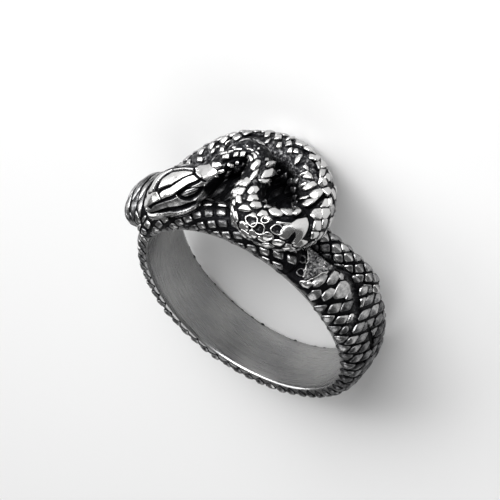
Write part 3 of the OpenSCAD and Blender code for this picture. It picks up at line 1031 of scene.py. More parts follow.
def facet_blank(corners):
    """The blank of a facet, made once for each number of corners."""
    if corners not in facet_blanks:
        facet_blanks[corners] = new_blank(
            bpy.ops.mesh.primitive_circle_add, vertices=3 * corners, fill_type="NGON",
            radius=1)
        raise_face(FACET_STEPS, FACET_CROWN)
    return facet_blanks[corners]


def lay_facets(skin, table, name, seed, polish=1.0, spread=1.1):
    """Plates with a height and the corners of their outline on a skin."""
    chance = np.random.default_rng(seed)
    facets = []
    for height, *corners in table:
        corners = np.array(corners, float)
        if np.cross(corners, np.roll(corners, -1, 0)).sum() < 0:
            corners = corners[::-1]
        one = copy_of(facet_blank(len(corners)))
        p = points_of(one)
        before, after = np.roll(corners, 1, 0), np.roll(corners, -1, 0)
        outline = np.stack([corners + CORNER_CUT * (before - corners),
                            corners + CORNER_CUT * (after - corners),
                            (corners + after) / 2], 1).reshape(-1, 2)
        angle = np.degrees(np.arctan2(p[:, 1], p[:, 0]))
        which = np.round((angle - angle[0]) / 360 * len(outline)).astype(int) % len(outline)
        size = np.hypot(p[:, 0], p[:, 1])[:, None]
        middle = corners.mean(0)
        place = middle + spread * size * (outline[which] - middle)
        tilt = 1 + (chance.normal(0, 0.2, 2) * p[:, :2]).sum(1)
        bend(one, skin(place[:, 0], place[:, 1], -SINK + height * p[:, 2] * tilt))
        mark(one, "polish", ease(p[:, 2], 0.2, 0.75) * polish * chance.uniform(0.9, 1.12))
        mark(one, "grit", 0.1 * (1 - ease(p[:, 2], 0.5, 0.85)))
        facets.append(one)
    finish_piece(joined(facets, name, "facets"), name, ring_metal)


print("a facet is raised in", len(FACET_STEPS), "steps")

# %% [markdown]
# ## Cuts and scales made by hand on the coil
#
# The coil isn't one even net. Black cuts fork across it, a grey valley follows
# the neck, one patch is left smooth, and the best-lit scales were cut one by
# one. A cut is a short line, a scale is the corners of its outline, and a rim is
# its middle.

# %% Tables of the coil's cuts and facets
# the pixels of each cut in the picture, as read off it, then half width, depth, polish
CUT_LINES = [
    ([(263, 155), (263, 163), (262, 170), (258, 176), (254, 183), (249, 188), (245, 194),
      (244, 203)], 0.2, 0.05, 0.56),
    ([(303, 206), (308, 210), (309.5, 216), (310, 222), (309, 230)], 0.17, 0.3, 0.0),
    ([(330, 196), (322, 197), (314, 203), (307, 208), (299, 215), (290, 219), (281, 219),
      (272, 217)], 0.16, 0.3, 0.0),
    ([(298, 151), (304, 153), (308, 160), (312, 168), (316, 178), (317, 183)], 0.24, 0.05, 0.6),
    ([(296, 146), (303, 148), (307, 152), (312, 153)], 0.12, 0.25, 0.0),
    ([(313, 158), (317, 167), (319.3, 178)], 0.06, 0.2, 0.0),
    ([(213, 143), (225, 139), (240, 134.5), (250, 133.5), (264, 135.5)], 0.13, 0.25, 0.0),
    ([(222, 162), (231, 159.5), (240, 158.5)], 0.12, 0.2, 0.0),
]

# height, then the pixel of each corner in the picture, as read off it
COIL_CORNERS = [
    (0.24, (225.5, 147), (227, 142.5), (231.5, 139.5), (228, 144)),
    (0.26, (264.5, 144), (266, 139.5), (270.5, 138), (268.5, 142.5)),
    (0.2, (232, 148), (233, 145.8), (235.5, 146), (234.5, 148.3)),
    (0.24, (219.5, 152), (220.5, 147), (223.5, 147), (223.5, 151.5)),
    (0.24, (210.8, 154), (211.5, 149), (214.5, 148), (213.5, 152.5)),
    (0.2, (215.5, 148), (216, 146), (219, 145), (218.5, 147)),
    (0.2, (246, 148.5), (246.5, 145), (248, 146), (247.5, 148.5)),
    (0.2, (257, 149), (258, 146.5), (260, 146.5), (259.5, 149)),
    (0.26, (264.5, 160.5), (265.5, 157.5), (269, 157.5), (269, 161)),
    (0.34, (266, 165.5), (268, 161.5), (275.5, 161.5), (278, 165.5), (275, 167.5), (268, 167)),
    (0.34, (261.5, 177.5), (265.5, 170.5), (272, 168.5), (276.5, 171), (274, 174), (264, 177.5)),
    (0.26, (276.5, 172.5), (277.5, 170), (280, 170.5), (279, 173)),
    (0.34, (258.5, 180), (261.5, 178.3), (270, 178.3), (272.5, 181.5), (269, 183.2), (261.5, 183)),
    (0.34, (247.5, 191.5), (251, 187), (256.5, 186.5), (258.8, 190), (255.5, 194), (249.5, 194.2)),
    (0.34, (247, 200), (248.5, 195.5), (256.5, 195.3), (258, 200.5), (250, 201.3)),
    (0.34, (250, 205.5), (253, 201.8), (260.5, 202.5), (262, 207), (256, 208.6), (252, 208)),
    (0.34, (238.5, 209), (243, 204.8), (248, 206), (251.3, 210.5), (247, 211.6), (241, 211)),
    (0.28, (264, 207.5), (265.5, 204), (269.5, 204.3), (272.5, 207.5)),
    (0.3, (247.5, 215.5), (253, 212.3), (256.3, 213.5), (255.3, 218), (251, 217)),
    (0.32, (257, 215.5), (261.5, 210.3), (266.5, 211.3), (268.3, 215.5), (263, 217.2)),
    (0.26, (263, 218), (268.5, 216), (272.5, 220.5), (269, 221)),
    (0.34, (268.6, 210), (274, 207.8), (283.5, 213.5), (280, 216.3), (272, 214.8)),
    (0.34, (279.5, 210), (285, 206), (291, 208), (294, 213.8), (288, 215.2), (283, 213)),
    (0.34, (290, 207.5), (296, 206.5), (301.3, 211.5), (296, 215.6), (291.5, 213)),
    (0.3, (310.3, 214.5), (313.5, 209), (320.6, 208.3), (320.6, 219), (314.3, 219)),
    (0.3, (321.6, 218.3), (321.4, 208.8), (328.3, 208.6), (330, 213), (326.5, 218.5)),
    (0.3, (312.3, 229.8), (314.3, 220.3), (320.6, 220.4), (320.2, 230.3)),
    (0.26, (311.3, 239), (312.5, 231.8), (319, 231.8), (316.8, 237.5)),
    (0.28, (320, 206.5), (324.5, 198.3), (327.5, 199), (327.3, 207)),
    (0.32, (308.5, 194.5), (313.5, 190.3), (320.3, 189), (322.8, 192.8),
     (318, 198), (311.5, 197.6)),
    (0.34, (300.8, 204.3), (304.5, 200.3), (312, 198.8), (318.5, 198.3),
     (313, 203.5), (307.3, 206.6)),
    (0.26, (296.8, 200.8), (300.5, 196.8), (308.5, 195.3), (306, 198.3), (300, 199.8)),
    (0.34, (302.8, 189.5), (308, 183), (313.5, 181.3), (317, 184.3), (312.5, 187.6), (306, 190.6)),
    (0.16, (296.8, 188.6), (298.5, 184.5), (306, 182), (305.5, 184)),
    (0.34, (302.6, 178.3), (308.3, 171.8), (311.6, 174.3), (312.8, 179.4)),
    (0.18, (297, 177), (300, 174), (308.3, 170.5), (306.3, 173.3)),
    (0.26, (303, 168), (305, 164.8), (308.6, 166.3), (308, 170.3)),
    (0.34, (293.6, 166), (295, 158.8), (299, 154.3), (302.6, 155.3), (299, 162)),
    (0.26, (293.3, 152.5), (294, 149), (297.6, 148.6), (299, 153)),
    (0.28, (286.8, 153), (288.5, 148.5), (292.3, 147.6), (291.6, 152.6)),
    (0.28, (276.6, 148), (278, 142.8), (281.8, 142.3), (281.3, 147.3)),
    (0.28, (285.3, 146), (285.5, 141), (290.3, 140.3), (292, 145.6)),
    (0.28, (274.6, 139.8), (275.8, 135.3), (281.8, 134.8), (280.8, 139)),
    (0.2, (274.8, 134.3), (276, 131), (281, 132.5), (279.5, 134.3)),
    (0.26, (285.5, 139.3), (286.5, 136.3), (294.5, 136.5), (294.5, 139)),
    (0.26, (264.8, 136.5), (265.5, 132), (270.5, 132), (269, 135.5)),
    (0.2, (261.8, 131.5), (262.5, 129), (267, 129), (266, 131)),
    (0.28, (295.5, 143), (296, 139.8), (301.5, 140.3), (307.5, 145), (303.5, 146.3)),
    (0.28, (303.8, 147), (307.8, 145.3), (313.3, 149.3), (310.5, 151.8)),
    (0.3, (314.6, 160.5), (315.6, 154.3), (320, 155.5), (319, 160)),
    (0.3, (315.6, 162.5), (319.3, 161), (320.5, 168), (318.6, 169)),
    (0.28, (320.3, 164.8), (321, 159), (326.3, 161), (327.3, 166.3), (322.3, 168.3)),
    (0.28, (319.6, 177), (319.6, 169), (325.3, 169.8), (324, 175)),
    (0.26, (324.6, 177), (327, 173), (331, 175.5), (329.5, 181.5)),
    (0.28, (318.3, 184), (319.3, 178), (324.3, 178.6), (327.3, 184.5), (322.3, 186.3)),
    (0.28, (321.6, 188.6), (328.3, 186.8), (331, 191), (327.3, 196)),
    (0.26, (328.3, 206.3), (328.6, 198.3), (331, 197.6), (331.3, 206)),
    (0.3, (232.3, 218.5), (232.6, 211.8), (236.3, 211.6), (238.3, 220.3), (236.3, 222.3)),
    (0.28, (239.6, 227.5), (239.6, 221.8), (243.3, 221), (248.6, 227.8), (247.3, 231.3)),
    (0.26, (248.6, 235), (249.3, 230.3), (252.5, 230), (257.6, 236), (254.6, 238)),
    (0.16, (257.6, 239), (258.6, 236.8), (267, 242), (265, 243.3)),
    (0.26, (263, 238.3), (263.3, 232.6), (268, 235), (273.6, 236), (273, 239.3), (268, 241.3)),
    (0.26, (271.6, 243.8), (273, 240.6), (279, 239.8), (284.6, 241.6), (280, 245.6)),
    (0.2, (284.6, 246.8), (286.3, 244.8), (291.3, 244.8), (291.6, 246.8)),
    (0.2, (240.5, 232), (241.5, 229.5), (252, 236.8), (250.5, 238.6)),
    (0.2, (229.3, 204.5), (231.5, 203), (233, 212), (231.3, 213)),
    (0.16, (226.3, 214), (228, 212.5), (235.6, 226.5), (234.6, 228)),
    (0.26, (243.5, 226), (246, 222), (248.5, 222.5), (248.5, 226.5)),
    (0.24, (276.5, 223), (277, 221.3), (291, 223), (290, 225.3)),
    (0.3, (196.8, 162), (197.6, 157.3), (202.3, 157.3), (202.3, 161.8)),
    (0.16, (194, 151.5), (196, 149.3), (205, 145.3), (203, 148)),
    (0.2, (185.5, 164.5), (186.5, 160), (190, 159), (189.5, 163.5)),
    (0.24, (232.5, 186.5), (233.5, 184), (241.3, 179), (243, 180.5), (237, 185.5)),
    (0.26, (226.8, 194), (228.3, 191), (233.3, 187), (234.3, 189.3)),
    (0.28, (228.3, 198.5), (231, 193.8), (236.3, 190), (238.3, 192.3), (235.3, 197)),
    (0.26, (227.3, 165.3), (228.3, 162.6), (234.3, 165.3), (233.6, 167.6)),
    (0.24, (235.3, 164.3), (236.3, 161.8), (239, 162), (238.6, 164.6)),
    (0.24, (242, 167.3), (243.3, 164.3), (246, 164), (245.3, 167)),
    (0.28, (289, 225.5), (293, 222.3), (298, 219.3), (307, 217.5), (308.8, 224), (306.8, 231),
     (303.3, 237), (297.5, 243.3), (291.5, 242.6), (296.6, 235.5), (295, 230)),
    (0.26, (283.5, 226.5), (291, 223.5), (297, 226), (295.3, 230.3), (291, 234.8),
     (288.3, 238.3), (284, 239.3), (279.3, 236.5), (281, 231)),
]
NECK_CORNERS = [
    (0.14, (219.3, 154.5), (221, 152.3), (227, 150.3), (226.5, 152.3)),
    (0.14, (227, 152.3), (227.5, 150.3), (233.3, 149.8), (233, 151.8)),
    (0.3, (222, 158.8), (222.6, 155.3), (229.3, 153.3), (229.6, 158.8)),
    (0.3, (232.8, 157), (233.8, 152), (238.8, 151.3), (238.3, 156.3)),
    (0.3, (239.6, 156.8), (240, 151.6), (246, 152), (245.3, 156.8)),
    (0.3, (245.8, 158.8), (248, 154.8), (251.6, 156.3), (253, 160), (249.8, 162.6)),
    (0.28, (249.3, 153.3), (252, 152), (256.6, 155), (257.6, 158.3), (253.6, 160.6)),
    (0.16, (232.8, 150), (233.3, 148.3), (242, 148.3), (241.6, 150.3)),
    (0.2, (246.3, 149.3), (247, 147.8), (253.6, 149.6), (253, 151.3)),
    (0.2, (254, 151.3), (256, 150.3), (259.3, 153.6), (258, 155.3)),
    (0.34, (250.8, 170), (251.6, 164.8), (257, 159.3), (261.3, 160.3),
     (259.3, 166), (253.5, 171.3)),
    (0.34, (250, 176), (253.5, 171.8), (259.6, 168), (257, 175.5), (251.5, 181), (249, 180)),
    (0.34, (238, 186.5), (247.3, 176), (252.2, 181), (246.3, 187.5)),
    (0.34, (232.5, 195), (237.8, 187), (246.5, 187.8), (242.3, 195.3)),
    (0.3, (236.8, 203.5), (236.6, 195.3), (241.3, 195.3), (242, 203.6)),
    (0.26, (231, 206), (230.3, 200.3), (235.6, 199), (235.3, 205.5)),
    (0.2, (212, 178), (212.3, 175.8), (219, 175.8), (218.3, 177.6)),
    (0.22, (212, 161.5), (220, 162), (223, 166), (216, 169.5), (211.5, 166)),
    (0.2, (207.5, 171.5), (215, 172), (213.5, 176), (206.5, 177)),
    (0.2, (217.5, 171), (224, 169), (225.5, 172), (219, 174)),
]

# pixel of the middle, radius in mm
RIM_MIDDLES = [((252, 220.5), 0.36), ((258.3, 228), 0.38), ((277, 230), 0.34),
               ((265, 219.5), 0.24), ((268, 236), 0.24)]
print("cuts:", len(CUT_LINES), "facets:", len(COIL_CORNERS) + len(NECK_CORNERS))

# %% [markdown]
# All of them were read off the picture, so they are pixels. To lay them,
# the skin of the body is ruled finely and looked at through the camera. A pixel
# belongs to the foremost crossing under it. A corner also has to lie about the
# middle of its own scale, so that it can't jump to a part of the body behind.

# %% Rule the body and look at it through the camera
EDGE_ON = 0.02


def rule_body(turn_step, lift):
    """Row, turn, pixel and nearness of all crossings that face the camera."""
    number, turn = (grid.ravel() for grid in np.meshgrid(
        np.arange(50 * (len(BODY) - 1) + 1) / 50, np.arange(0, 360, turn_step), indexing="ij"))
    place, _, up, side, row = frame_at(BODY, number)
    wide, high = row[:, 3:4] + lift, row[:, 4:5] + lift
    c, s = np.cos(np.radians(turn))[:, None], np.sin(np.radians(turn))[:, None]
    facing = unit(side * c / wide + up * s / high) @ np.array(to_camera)
    points = place + side * c * wide + up * s * high
    nearness = points @ np.array(to_camera)
    size = PIXELS_PER_MM * VIEW_DISTANCE / (VIEW_DISTANCE - nearness)
    pixels = np.array(HOLE_PIXEL) + size[:, None] * np.stack(
        [points @ np.array(picture_right), -points @ np.array(picture_up)], -1)
    return [values[facing > EDGE_ON] for values in (number, turn, pixels, nearness)]


def foremost_at(ruled, pixel, wanted, reach, depth):
    """The crossing under a pixel, among the foremost ones within reach of it."""
    away = np.hypot(*(ruled[2] - pixel).T)
    close = wanted & (away < reach)
    if close.any():
        wanted = close & (ruled[3] > ruled[3][close].max() - depth)
    return np.flatnonzero(wanted)[away[wanted].argmin()]


ruled_for_cuts, ruled_for_scales = rule_body(3, 0.12), rule_body(2, 0.14)
print("crossings that face the camera:", len(ruled_for_cuts[0]), len(ruled_for_scales[0]))

# %% Find the cuts and the rims on the body


def places_seen(line):
    """The rows and turns of the body under the pixels of a line."""
    number, turn = ruled_for_cuts[:2]
    found = [foremost_at(ruled_for_cuts, pixel, number >= 0, reach=1.2, depth=0.3)
             for pixel in line]
    return np.stack([number[found], turn[found]], -1)


COIL_CUTS = [(places_seen(line), *sizes) for line, *sizes in CUT_LINES]
RIMMED = [(*places_seen([pixel])[0], radius) for pixel, radius in RIM_MIDDLES]
print("places found on the cuts:", sum(len(places) for places, *_ in COIL_CUTS))

# %% Find the corners of the facets on the body
SEEN_FROM, NECK_SEEN_FROM, SEEN_TO = 2.0, 16.9, 24.5
ALONG_SCALE, ROUND_SCALE = 1.6, 85


def facets_seen(table, first_row):
    """A table of facets, with a row and a turn of the body for each corner."""
    number, turn, pixels, _ = ruled_for_scales
    run, rows = walk(BODY)
    wanted = (number >= first_row) & (number <= SEEN_TO)
    facets = []
    for height, *corners in table:
        middle = foremost_at(ruled_for_scales, np.mean(corners, 0), wanted, reach=1.0, depth=0.4)
        turned = (turn - turn[middle] + 180) % 360 - 180
        about = np.flatnonzero(wanted & (np.abs(number - number[middle]) < ALONG_SCALE)
                               & (np.abs(turned) < ROUND_SCALE))
        found = [about[np.hypot(*(pixels[about] - corner).T).argmin()] for corner in corners]
        places = np.stack([number[found], turn[middle] + turned[found]], -1)
        flat = np.stack([np.interp(places[:, 0], rows, run), places[:, 1]], -1)
        if np.cross(flat, np.roll(flat, -1, 0)).sum() < 0:
            places = places[::-1]
        facets.append((height, *places))
    return facets


COIL_FACETS = facets_seen(COIL_CORNERS, SEEN_FROM)
NECK_FACETS = facets_seen(NECK_CORNERS, NECK_SEEN_FROM)
print("corners found:", sum(len(facet) - 1 for facet in COIL_FACETS + NECK_FACETS))

# %% [markdown]
# ## The coil and the neck
#
# One body makes the rise from the left shoulder, the coil and the neck. Its cuts
# are pressed in first. Small square scales ring the shoulder, a net covers the
# sides and the hidden parts, and the facets go where the light falls. The facets
# of the band, which use the same helper, are laid in the same step.

# %% Model the coil's core and lay its nets
coil_grooves = [groove(body_line(BODY, places), half, depth, shine)
                for places, half, depth, shine in COIL_CUTS]
body_run = model_body(BODY, "coil_core", rings=520, sides=64, grooves=coil_grooves,
                      top_polish=0.55)
facet_places = np.concatenate([
    body_at(BODY, *np.array([*corners, np.mean(corners, 0)]).T, 0.0)
    for _, *corners in COIL_FACETS + NECK_FACETS])
SHOULDER_TO, NET_TO, NECK_FROM = (
    float(np.interp(row, body_run[1], body_run[0])) for row in (2.9, 5.0, 18.0))
scale_body(BODY, body_run, "shoulder_rings", 0.26, 44.0, stop=SHOULDER_TO, seed=10,
           height=0.18, polish=0.75, turns=(-60, 240), fill=(0.9, 0.9))
scale_body(BODY, body_run, "coil_scales", 0.54, 23.0, start=SHOULDER_TO - 0.3, stop=NECK_FROM,
           seed=11, height=0.26, turns=(-70, 250), bare_from=NET_TO, keep_off=facet_places)
scale_body(BODY, body_run, "neck_scales", 0.42, 36.0, start=NECK_FROM, seed=12,
           height=0.16, turns=(-80, 250), fill=(0.88, 0.82), bare_from=NECK_FROM,
           facing=0.2, keep_off=facet_places)

# %% Lay the facets of the coil, the shoulder and the neck


def body_place(row, turn, height):
    """A point on the snake's body."""
    return body_at(BODY, row, turn, height)


lay_facets(body_place, COIL_FACETS, "coil_facets", seed=13)
lay_facets(band_at, PANEL_FACETS, "panel_rims", seed=15)
lay_facets(band_at, SHOULDER_SCALES, "shoulder_scales", seed=8, polish=0.8, spread=1.13)
lay_facets(body_place, NECK_FACETS, "neck_facets", seed=14, polish=1.0, spread=0.98)

# %% [markdown]
# ## Rims
#
# A few small scales have a raised rim with a dark middle, like a ring pressed
# into the wax. Each is a thin torus, pushed a little out of round and bent to
# the skin of the coil or of the panel.

# %% Rims round a few scales


def model_rim(radius, skin, shine=0.95):
    """A thin bright ring bent to a skin, which takes flat places and a height."""
    rim = new_blank(bpy.ops.mesh.primitive_torus_add, major_segments=24, minor_segments=8,
                    major_radius=radius, minor_radius=0.045)
    p = points_of(rim)
    wobble = 1 + 0.08 * np.sin(3 * np.arctan2(p[:, 1], p[:, 0]) + 20 * radius)
    mark(rim, "polish", shine)
    mark(rim, "grit", 0.0)
    bend(rim, skin(p[:, 0] * wobble, p[:, 1] * wobble, 0.16 + p[:, 2] * 1.6))
    return rim


rims = []
for row, turn, radius in RIMMED:
    girth = math.radians(1) * row_at(BODY, np.array(row))[3:5].mean()
    middle = np.interp(row, body_run[1], body_run[0])
    rims.append(model_rim(radius, lambda x, y, h: body_skin(
        BODY, body_run, middle + x, turn + y / girth, h)))
for angle, across_band, radius in PANEL_RIMMED:
    rims.append(model_rim(radius, lambda x, y, h: band_at(
        angle + np.degrees(x / UNROLL), across_band + y, h), 0.7))
rims_of_scales = joined(rims, "rims_of_scales", "rims")
face_outwards(rims_of_scales)
finish_piece(rims_of_scales, "rims_of_scales", ring_metal)

# %% [markdown]
# ## The two strands
#
# A narrow strand runs along each edge of the band and under the coil, with the
# sandy panel between them. Its scales lie askew, in rows that turn as they go.

# %% The near and the far strand
near_run = model_body(NEAR_STRAND, "near_strand_core", rings=160, sides=32, polish=0.3)
scale_body(NEAR_STRAND, near_run, "near_strand_scales", 0.7, 28.0, shear=-9.0, start=-0.4,
           skew=0.25, phase=-4.0, seed=21, polish=0.86, turns=(-50, 170), fill=(0.77, 0.72),
           height=0.24)
far_run = model_body(FAR_STRAND, "far_strand_core", rings=120, sides=28)
scale_body(FAR_STRAND, far_run, "far_strand_scales", 0.6, 38.0, seed=22, polish=0.92,
           fill=(0.95, 0.88), height=0.25)

# %% [markdown]
# ## The head
#
# A fine sphere is the blank again, drawn out to the head's table and leaned
# towards the near side. It is then carved as wax would be: plates are raised,
# grooves are cut between them, the sockets are sunk, and the mouth is drawn
# from nose to cheek. A place on the head is a row of its table and an angle
# from its side, which is 0 at the side, 90 on the crown and -90 at the throat.

# %% Draw the blank of the head


def head_skin(u, turn, lift):
    """A point on the head, lifted off its smooth shape."""
    place, _, up, side, row = frame_at(HEAD, u)
    turn = np.radians(turn)
    c, s = np.cos(turn), np.sin(turn)
    x = np.sign(c) * np.abs(c) ** 0.8 * row[..., 3] + c * lift
    y = np.sign(s) * np.abs(s) ** 0.9 * np.where(s > 0, row[..., 4], row[..., 5]) + s * lift
    lean = np.radians(HEAD_LEAN * np.minimum(1, u / 2))
    return (place + side * (x * np.cos(lean) - y * np.sin(lean))[..., None]
            + up * (x * np.sin(lean) + y * np.cos(lean))[..., None])


HEAD_ROWS = len(HEAD) - 1
head = new_blank(bpy.ops.mesh.primitive_uv_sphere_add, segments=280, ring_count=320,
                 radius=1)
blank = points_of(head)
from_pole = np.degrees(np.arccos(np.clip(blank[:, 2], -1, 1))) / 180
turn = np.degrees(np.arctan2(blank[:, 1], blank[:, 0]))
NOSE = 0.95
u = np.clip(from_pole / NOSE, 0, 1) * HEAD_ROWS
print("the head's blank has", len(blank), "points")

# %% [markdown]
# ## The plates of the head
#
# Each edge of a plate is a line of row and angle. The angle is 0 at the near
# side, 90 on the crown and 180 at the far side. From these edges every point of
# the blank gets a share, from 0 to 1, of each form: the crown plate, the two
# brow ridges, the plate of the snout, the trench between them and the overhang
# below them.

# %% Edges of the plates, from the nape to the nose
NEAR_BROW_OUT = [(1.5, 64.5), (2.5, 59.5), (3.7, 53.5), (4.6, 47.5), (5.4, 46.5)]
NEAR_BROW_IN = [(1.5, 86), (2.4, 82.5), (3.6, 75.5), (4.75, 69), (5.5, 65)]
CROWN_NEAR = [(1.85, 90), (2.6, 84.5), (3.5, 80.5), (4.3, 77.5), (4.9, 77), (5.35, 79)]
CROWN_FAR = [(1.85, 90), (2.6, 96), (3.5, 101), (4.3, 102), (4.9, 94), (5.35, 81)]
FAR_BROW_IN = [(1.5, 94), (2.4, 99), (3.6, 108), (4.2, 111), (4.7, 105), (5.2, 95),
               (5.8, 89.5), (6.5, 88)]
FAR_BROW_OUT = [(1.5, 105), (2.5, 107), (3.7, 113), (4.6, 115), (5.4, 114), (6.5, 115)]
SNOUT_BACK = [(40, 5.42), (66, 5.42), (77, 5.46), (84, 5.75), (90, 6.2), (96, 6.45),
              (125, 6.5), (140, 6.4)]
SNOUT_LOW = [(5.35, 46), (6.2, 54), (7.0, 62), (8.0, 66)]
MOUTH_TOP = [(2.6, 5), (3.6, 14), (4.4, 18), (5.2, 17), (6.2, 17), (7.2, 25), (8.0, 36)]
LIP_TOP = [(2.6, -20), (3.0, -15), (3.6, -5), (4.4, 0), (4.8, -5), (5.2, -12), (5.7, -10),
           (6.2, -6), (6.7, 4), (7.2, 11), (8.0, 24)]
EYE_BACK, EYE_FRONT = (1.75, 33.0), (3.98, 48.0)
EYE_ROW = 2.85
NOSTRIL = (6.9, 48)


def edge_at(edge, x):
    """Where an edge runs, at a row or an angle."""
    edge = np.array(edge, float)
    return np.interp(x, edge[:, 0], edge[:, 1])


print("edges of the crown and the brows have",
      [len(e) for e in (CROWN_NEAR, NEAR_BROW_OUT, FAR_BROW_OUT)], "places")

# %% Shares of the plates
over = np.where(turn < -90, turn + 360, turn)
b = 180 - over
side = np.where(b > 90, 180 - b, b)

crown_on = (ease(b - edge_at(CROWN_NEAR, u), -1.2, 1.2)
            * ease(edge_at(CROWN_FAR, u) - b, -1.2, 1.2) * (u > 1.85) * (u < 5.35))
behind = edge_at(SNOUT_BACK, b)
brow_back = ease(u, 1.5, 1.62)
near_brow = (brow_back * (1 - ease(u, 5.36, 5.44))
             * ease(b - edge_at(NEAR_BROW_OUT, u), -1, 2)
             * ease(edge_at(NEAR_BROW_IN, u) - b, -1, 1.5))
far_brow = (brow_back * (1 - ease(u - behind, -0.1, 0.0))
            * ease(b - edge_at(FAR_BROW_IN, u), -1, 1.5)
            * ease(edge_at(FAR_BROW_OUT, u) - b, -1, 2))
snout_low = np.where(b < 90, edge_at(SNOUT_LOW, u), edge_at(SNOUT_LOW, u) - 4)
snout_on = ease(u - behind, 0.0, 0.1) * ease(side - snout_low, -1.5, 2)
between = (ease(u, 1.8, 2.1) * (b > edge_at(NEAR_BROW_IN, u)) * (b < edge_at(FAR_BROW_IN, u))
           * (1 - ease(u - behind, -0.12, 0.0)))
trench = between * (1 - crown_on)
brow_out = np.where(b < 90, edge_at(NEAR_BROW_OUT, u), 180 - edge_at(FAR_BROW_OUT, u))
overhang = (ease(u, 1.6, 2.0) * (1 - ease(u, 6.8, 7.6))
            * ridge(side, np.where(u < 5.4, brow_out, snout_low) - 4, 7))
print("points on the plates:", int((crown_on + near_brow + far_brow + snout_on > 0.5).sum()))

# %% [markdown]
# ## The face
#
# The eye lies between the ends of an almond: a socket with a lid below it and a
# ball in its middle, scored with fine upright lines. The mouth is one cut
# between the plates and the lip. The nape and the snout end in a fine cut.

# %% Shares of the eyes, the mouth and the nostrils
eye_x = (u - (EYE_FRONT[0] + EYE_BACK[0]) / 2) / ((EYE_FRONT[0] - EYE_BACK[0]) / 2)
eye_line = (EYE_FRONT[1] + EYE_BACK[1]) / 2 + eye_x * (EYE_FRONT[1] - EYE_BACK[1]) / 2
almond = np.clip(1 - eye_x ** 2, 0, 1)
eye_low, eye_top = eye_line - 33 * almond ** 0.8, eye_line + 13 * almond
eye_gap = np.minimum(side - eye_low, eye_top - side) * (np.abs(eye_x) < 1)
socket = ease(eye_gap, 0.0, 4.0) * (np.abs(eye_x) < 1)
lid = ridge(side, eye_low - 1.5, 4.0) * (np.abs(eye_x) < 1.02)
ball_up = side - 37 - 6 * (u - EYE_ROW)
ball = np.clip(1 - ((u - EYE_ROW) / 0.85) ** 2 - (ball_up / 14) ** 2, 0, 1) ** 0.6
scored = 0.5 + 0.5 * np.cos(ball_up * 0.8)

mouth_top, lip_top = edge_at(MOUTH_TOP, u), edge_at(LIP_TOP, u)
mouth = (ease(side, lip_top - 2, lip_top + 3) * (1 - ease(side, mouth_top - 4, mouth_top))
         * ease(u, 2.7, 3.0))
lip = ridge(side, lip_top - 5, 6) * ease(u, 2.7, 3.2)
lip_groove = ridge(side, lip_top - 14, 5) * ease(u, 2.9, 3.4) * (1 - ease(u, 6.0, 6.6))
jaw = (1 - ease(side, lip_top - 14, lip_top - 2)) * ease(u, 2.5, 3.3) * (1 - ease(u, 7.6, 8.0))
nostril = np.clip(1 - ((u - NOSTRIL[0]) / 0.26) ** 2 - ((side - NOSTRIL[1]) / 7) ** 2,
                  0, 1) ** 0.7

nape_edge = 1.95 - 0.0105 * np.clip(90 - side, 0, 60)
nape_on = ease(nape_edge - u, -0.02, 0.10) * ease(side, 35, 46)
nape_cut = ridge(u, nape_edge + 0.07, 0.12) * ease(side, 35, 46)
snout_cut = ridge(u, behind - 0.03, 0.1) * ease(side, 46, 50)
print("points in the sockets:", int((socket > 0.5).sum()), "in the mouth:",
      int((mouth > 0.5).sum()))

# %% [markdown]
# ## Carving the head
#
# All forms go on in one pass: each has a height in millimetres, below zero where
# it is cut in. The nose is then closed, rounded and drawn out a little.

# %% Bend the blank to the carved head
crown_bow = 1 - np.abs(b - 90) / 40
FORMS = [
    (0.13, crown_on * crown_bow), (0.13, near_brow + far_brow),
    (0.1 + 0.2 * ease(u, 5.4, 7.7), snout_on), (-0.17, trench), (-0.14, overhang),
    (-0.24, socket), (0.08, lid), (0.28, ball * socket), (0.03, scored * ball * socket),
    (0.33, jaw), (-0.3, mouth), (0.1, lip), (-0.06, lip_groove), (-0.16, nostril),
    (0.05, nape_on), (-0.1, nape_cut), (-0.1, snout_cut)]
lift = sum(height * form for height, form in FORMS)
tip = np.clip((from_pole - NOSE) / (1 - NOSE), 0, 1)
place, along = frame_at(HEAD, u)[:2]
skin = head_skin(u, turn, lift * (1 - tip))
narrow = np.sqrt(np.clip(1 - tip ** 2, 0, 1))[:, None]
start = np.sqrt(np.clip(1 - np.clip(1 - from_pole / 0.02, 0, 1) ** 2, 0, 1))[:, None]
bend(head, place + (skin - place) * narrow * start + along * (0.35 * tip)[:, None])
print("highest and deepest form in mm:", round(float(lift.max()), 2), round(float(lift.min()), 2))

# %% [markdown]
# The wheel reaches the plates first, then the cheek, and the snout plate gets a
# painted highlight besides. Every cut stays black, and so does the hollow behind
# the cheek. The lids, the lip, the scored ball of the eye and the tip of the nose
# are bright again.

# %% Polish the plates of the head and leave the cuts black
# Painted highlight: the snout's share counts 1.2 times, so its plate is brighter than the others.
plates = np.maximum.reduce([crown_on, near_brow, far_brow, 1.2 * snout_on, nape_on])
polish = np.maximum(plates * 0.98, np.where(b < 100, 0.78, 0.4))
for cut in (trench, overhang * 0.9, nape_cut, snout_cut, mouth, nostril, lip_groove * 0.8):
    polish = polish * (1 - 0.97 * np.clip(cut * 1.5, 0, 1))
polish = polish * (1 - socket) + socket * (0.05 + 0.85 * ease(ball, 0.25, 0.7)
                                          * (0.35 + 0.65 * scored))
for shown in (lid * (1 - socket), lip, ease(u, 7.3, 7.5) * ease(side, 20, 30)):
    polish = np.maximum(polish, 0.95 * shown)
polish *= 1 - 0.9 * (1 - ease(u, 1.75, 2.1)) * (1 - ease(side, 26, 36))
mark(head, "polish", polish)
mark(head, "grit", np.where(plates > 0.3, 0.0, 0.12))
face_outwards(head)
finish_piece(head, "snake_head", ring_metal)
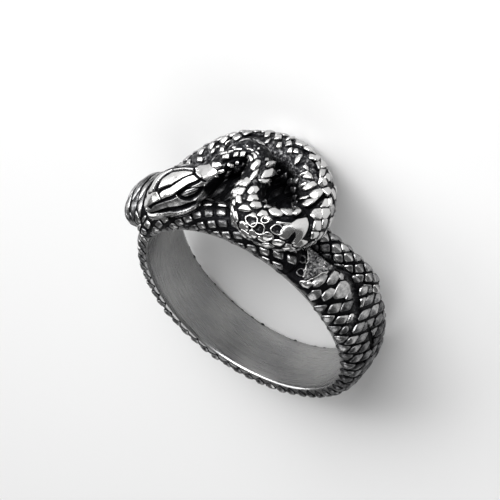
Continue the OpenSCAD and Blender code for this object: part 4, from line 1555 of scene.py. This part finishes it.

# %% [markdown]
# ## Put the patterns away
#
# The first scale and the blanks of the facets were only patterns, so they go.

# %% Remove the pattern scale and facets
for blank in (scale, *facet_blanks.values()):
    bpy.data.objects.remove(blank)

# %% [markdown]
# ## The table and the light
#
# Polished metal shows what stands round it, so the studio is the other half of
# the finish. A pale sheet lies under the ring. The key is a large soft light
# over the head's side, a small low one comes from the side, and a weak one hangs
# overhead. The air round them is grey, which leaves dark reflections beside the
# bright ones.

# %% The table
floor = new_blank(bpy.ops.mesh.primitive_plane_add, size=1.2)
floor.name = "floor"
paper = bpy.data.materials.new("pale_paper")
paper.use_nodes = True
paper_shader = paper.node_tree.nodes["Principled BSDF"]
paper_shader.inputs["Base Color"].default_value = (0.75, 0.75, 0.75, 1)
paper_shader.inputs["Roughness"].default_value = 0.9
floor.data.materials.append(paper)
print("the table is", round(floor.dimensions.x, 2), "m wide")

# %% The lights


def soft_light(name, direction, distance, size, power):
    """A square area light that faces the ring from a direction on the ring."""
    lamp = bpy.data.objects.new(name, bpy.data.lights.new(name, "AREA"))
    lamp.data.size = size
    lamp.data.energy = power
    out = (LAY_DOWN.to_3x3() @ Vector(direction)).normalized()
    lamp.location = out * distance
    lamp.rotation_euler = out.to_track_quat("Z", "Y").to_euler()
    bpy.context.scene.collection.objects.link(lamp)
    return lamp


key_way = 0.75 * (picture_up - picture_right * 0.6) + to_camera * 1.0
soft_light("key", key_way, distance=0.3, size=0.34, power=2.9)
soft_light("side", (0.85, -0.35, 0.3), distance=0.3, size=0.2, power=0.5)
soft_light("overhead", (-0.2, 0.5, 1.0), distance=0.4, size=0.35, power=0.5)

world = bpy.data.worlds.new("grey_studio")
world.use_nodes = True
world.node_tree.nodes["Background"].inputs["Color"].default_value = (0.5, 0.5, 0.5, 1)
world.node_tree.nodes["Background"].inputs["Strength"].default_value = 0.32
bpy.context.scene.world = world
bpy.context.scene.view_settings.view_transform = "Standard"

# %% [markdown]

# %% [markdown]
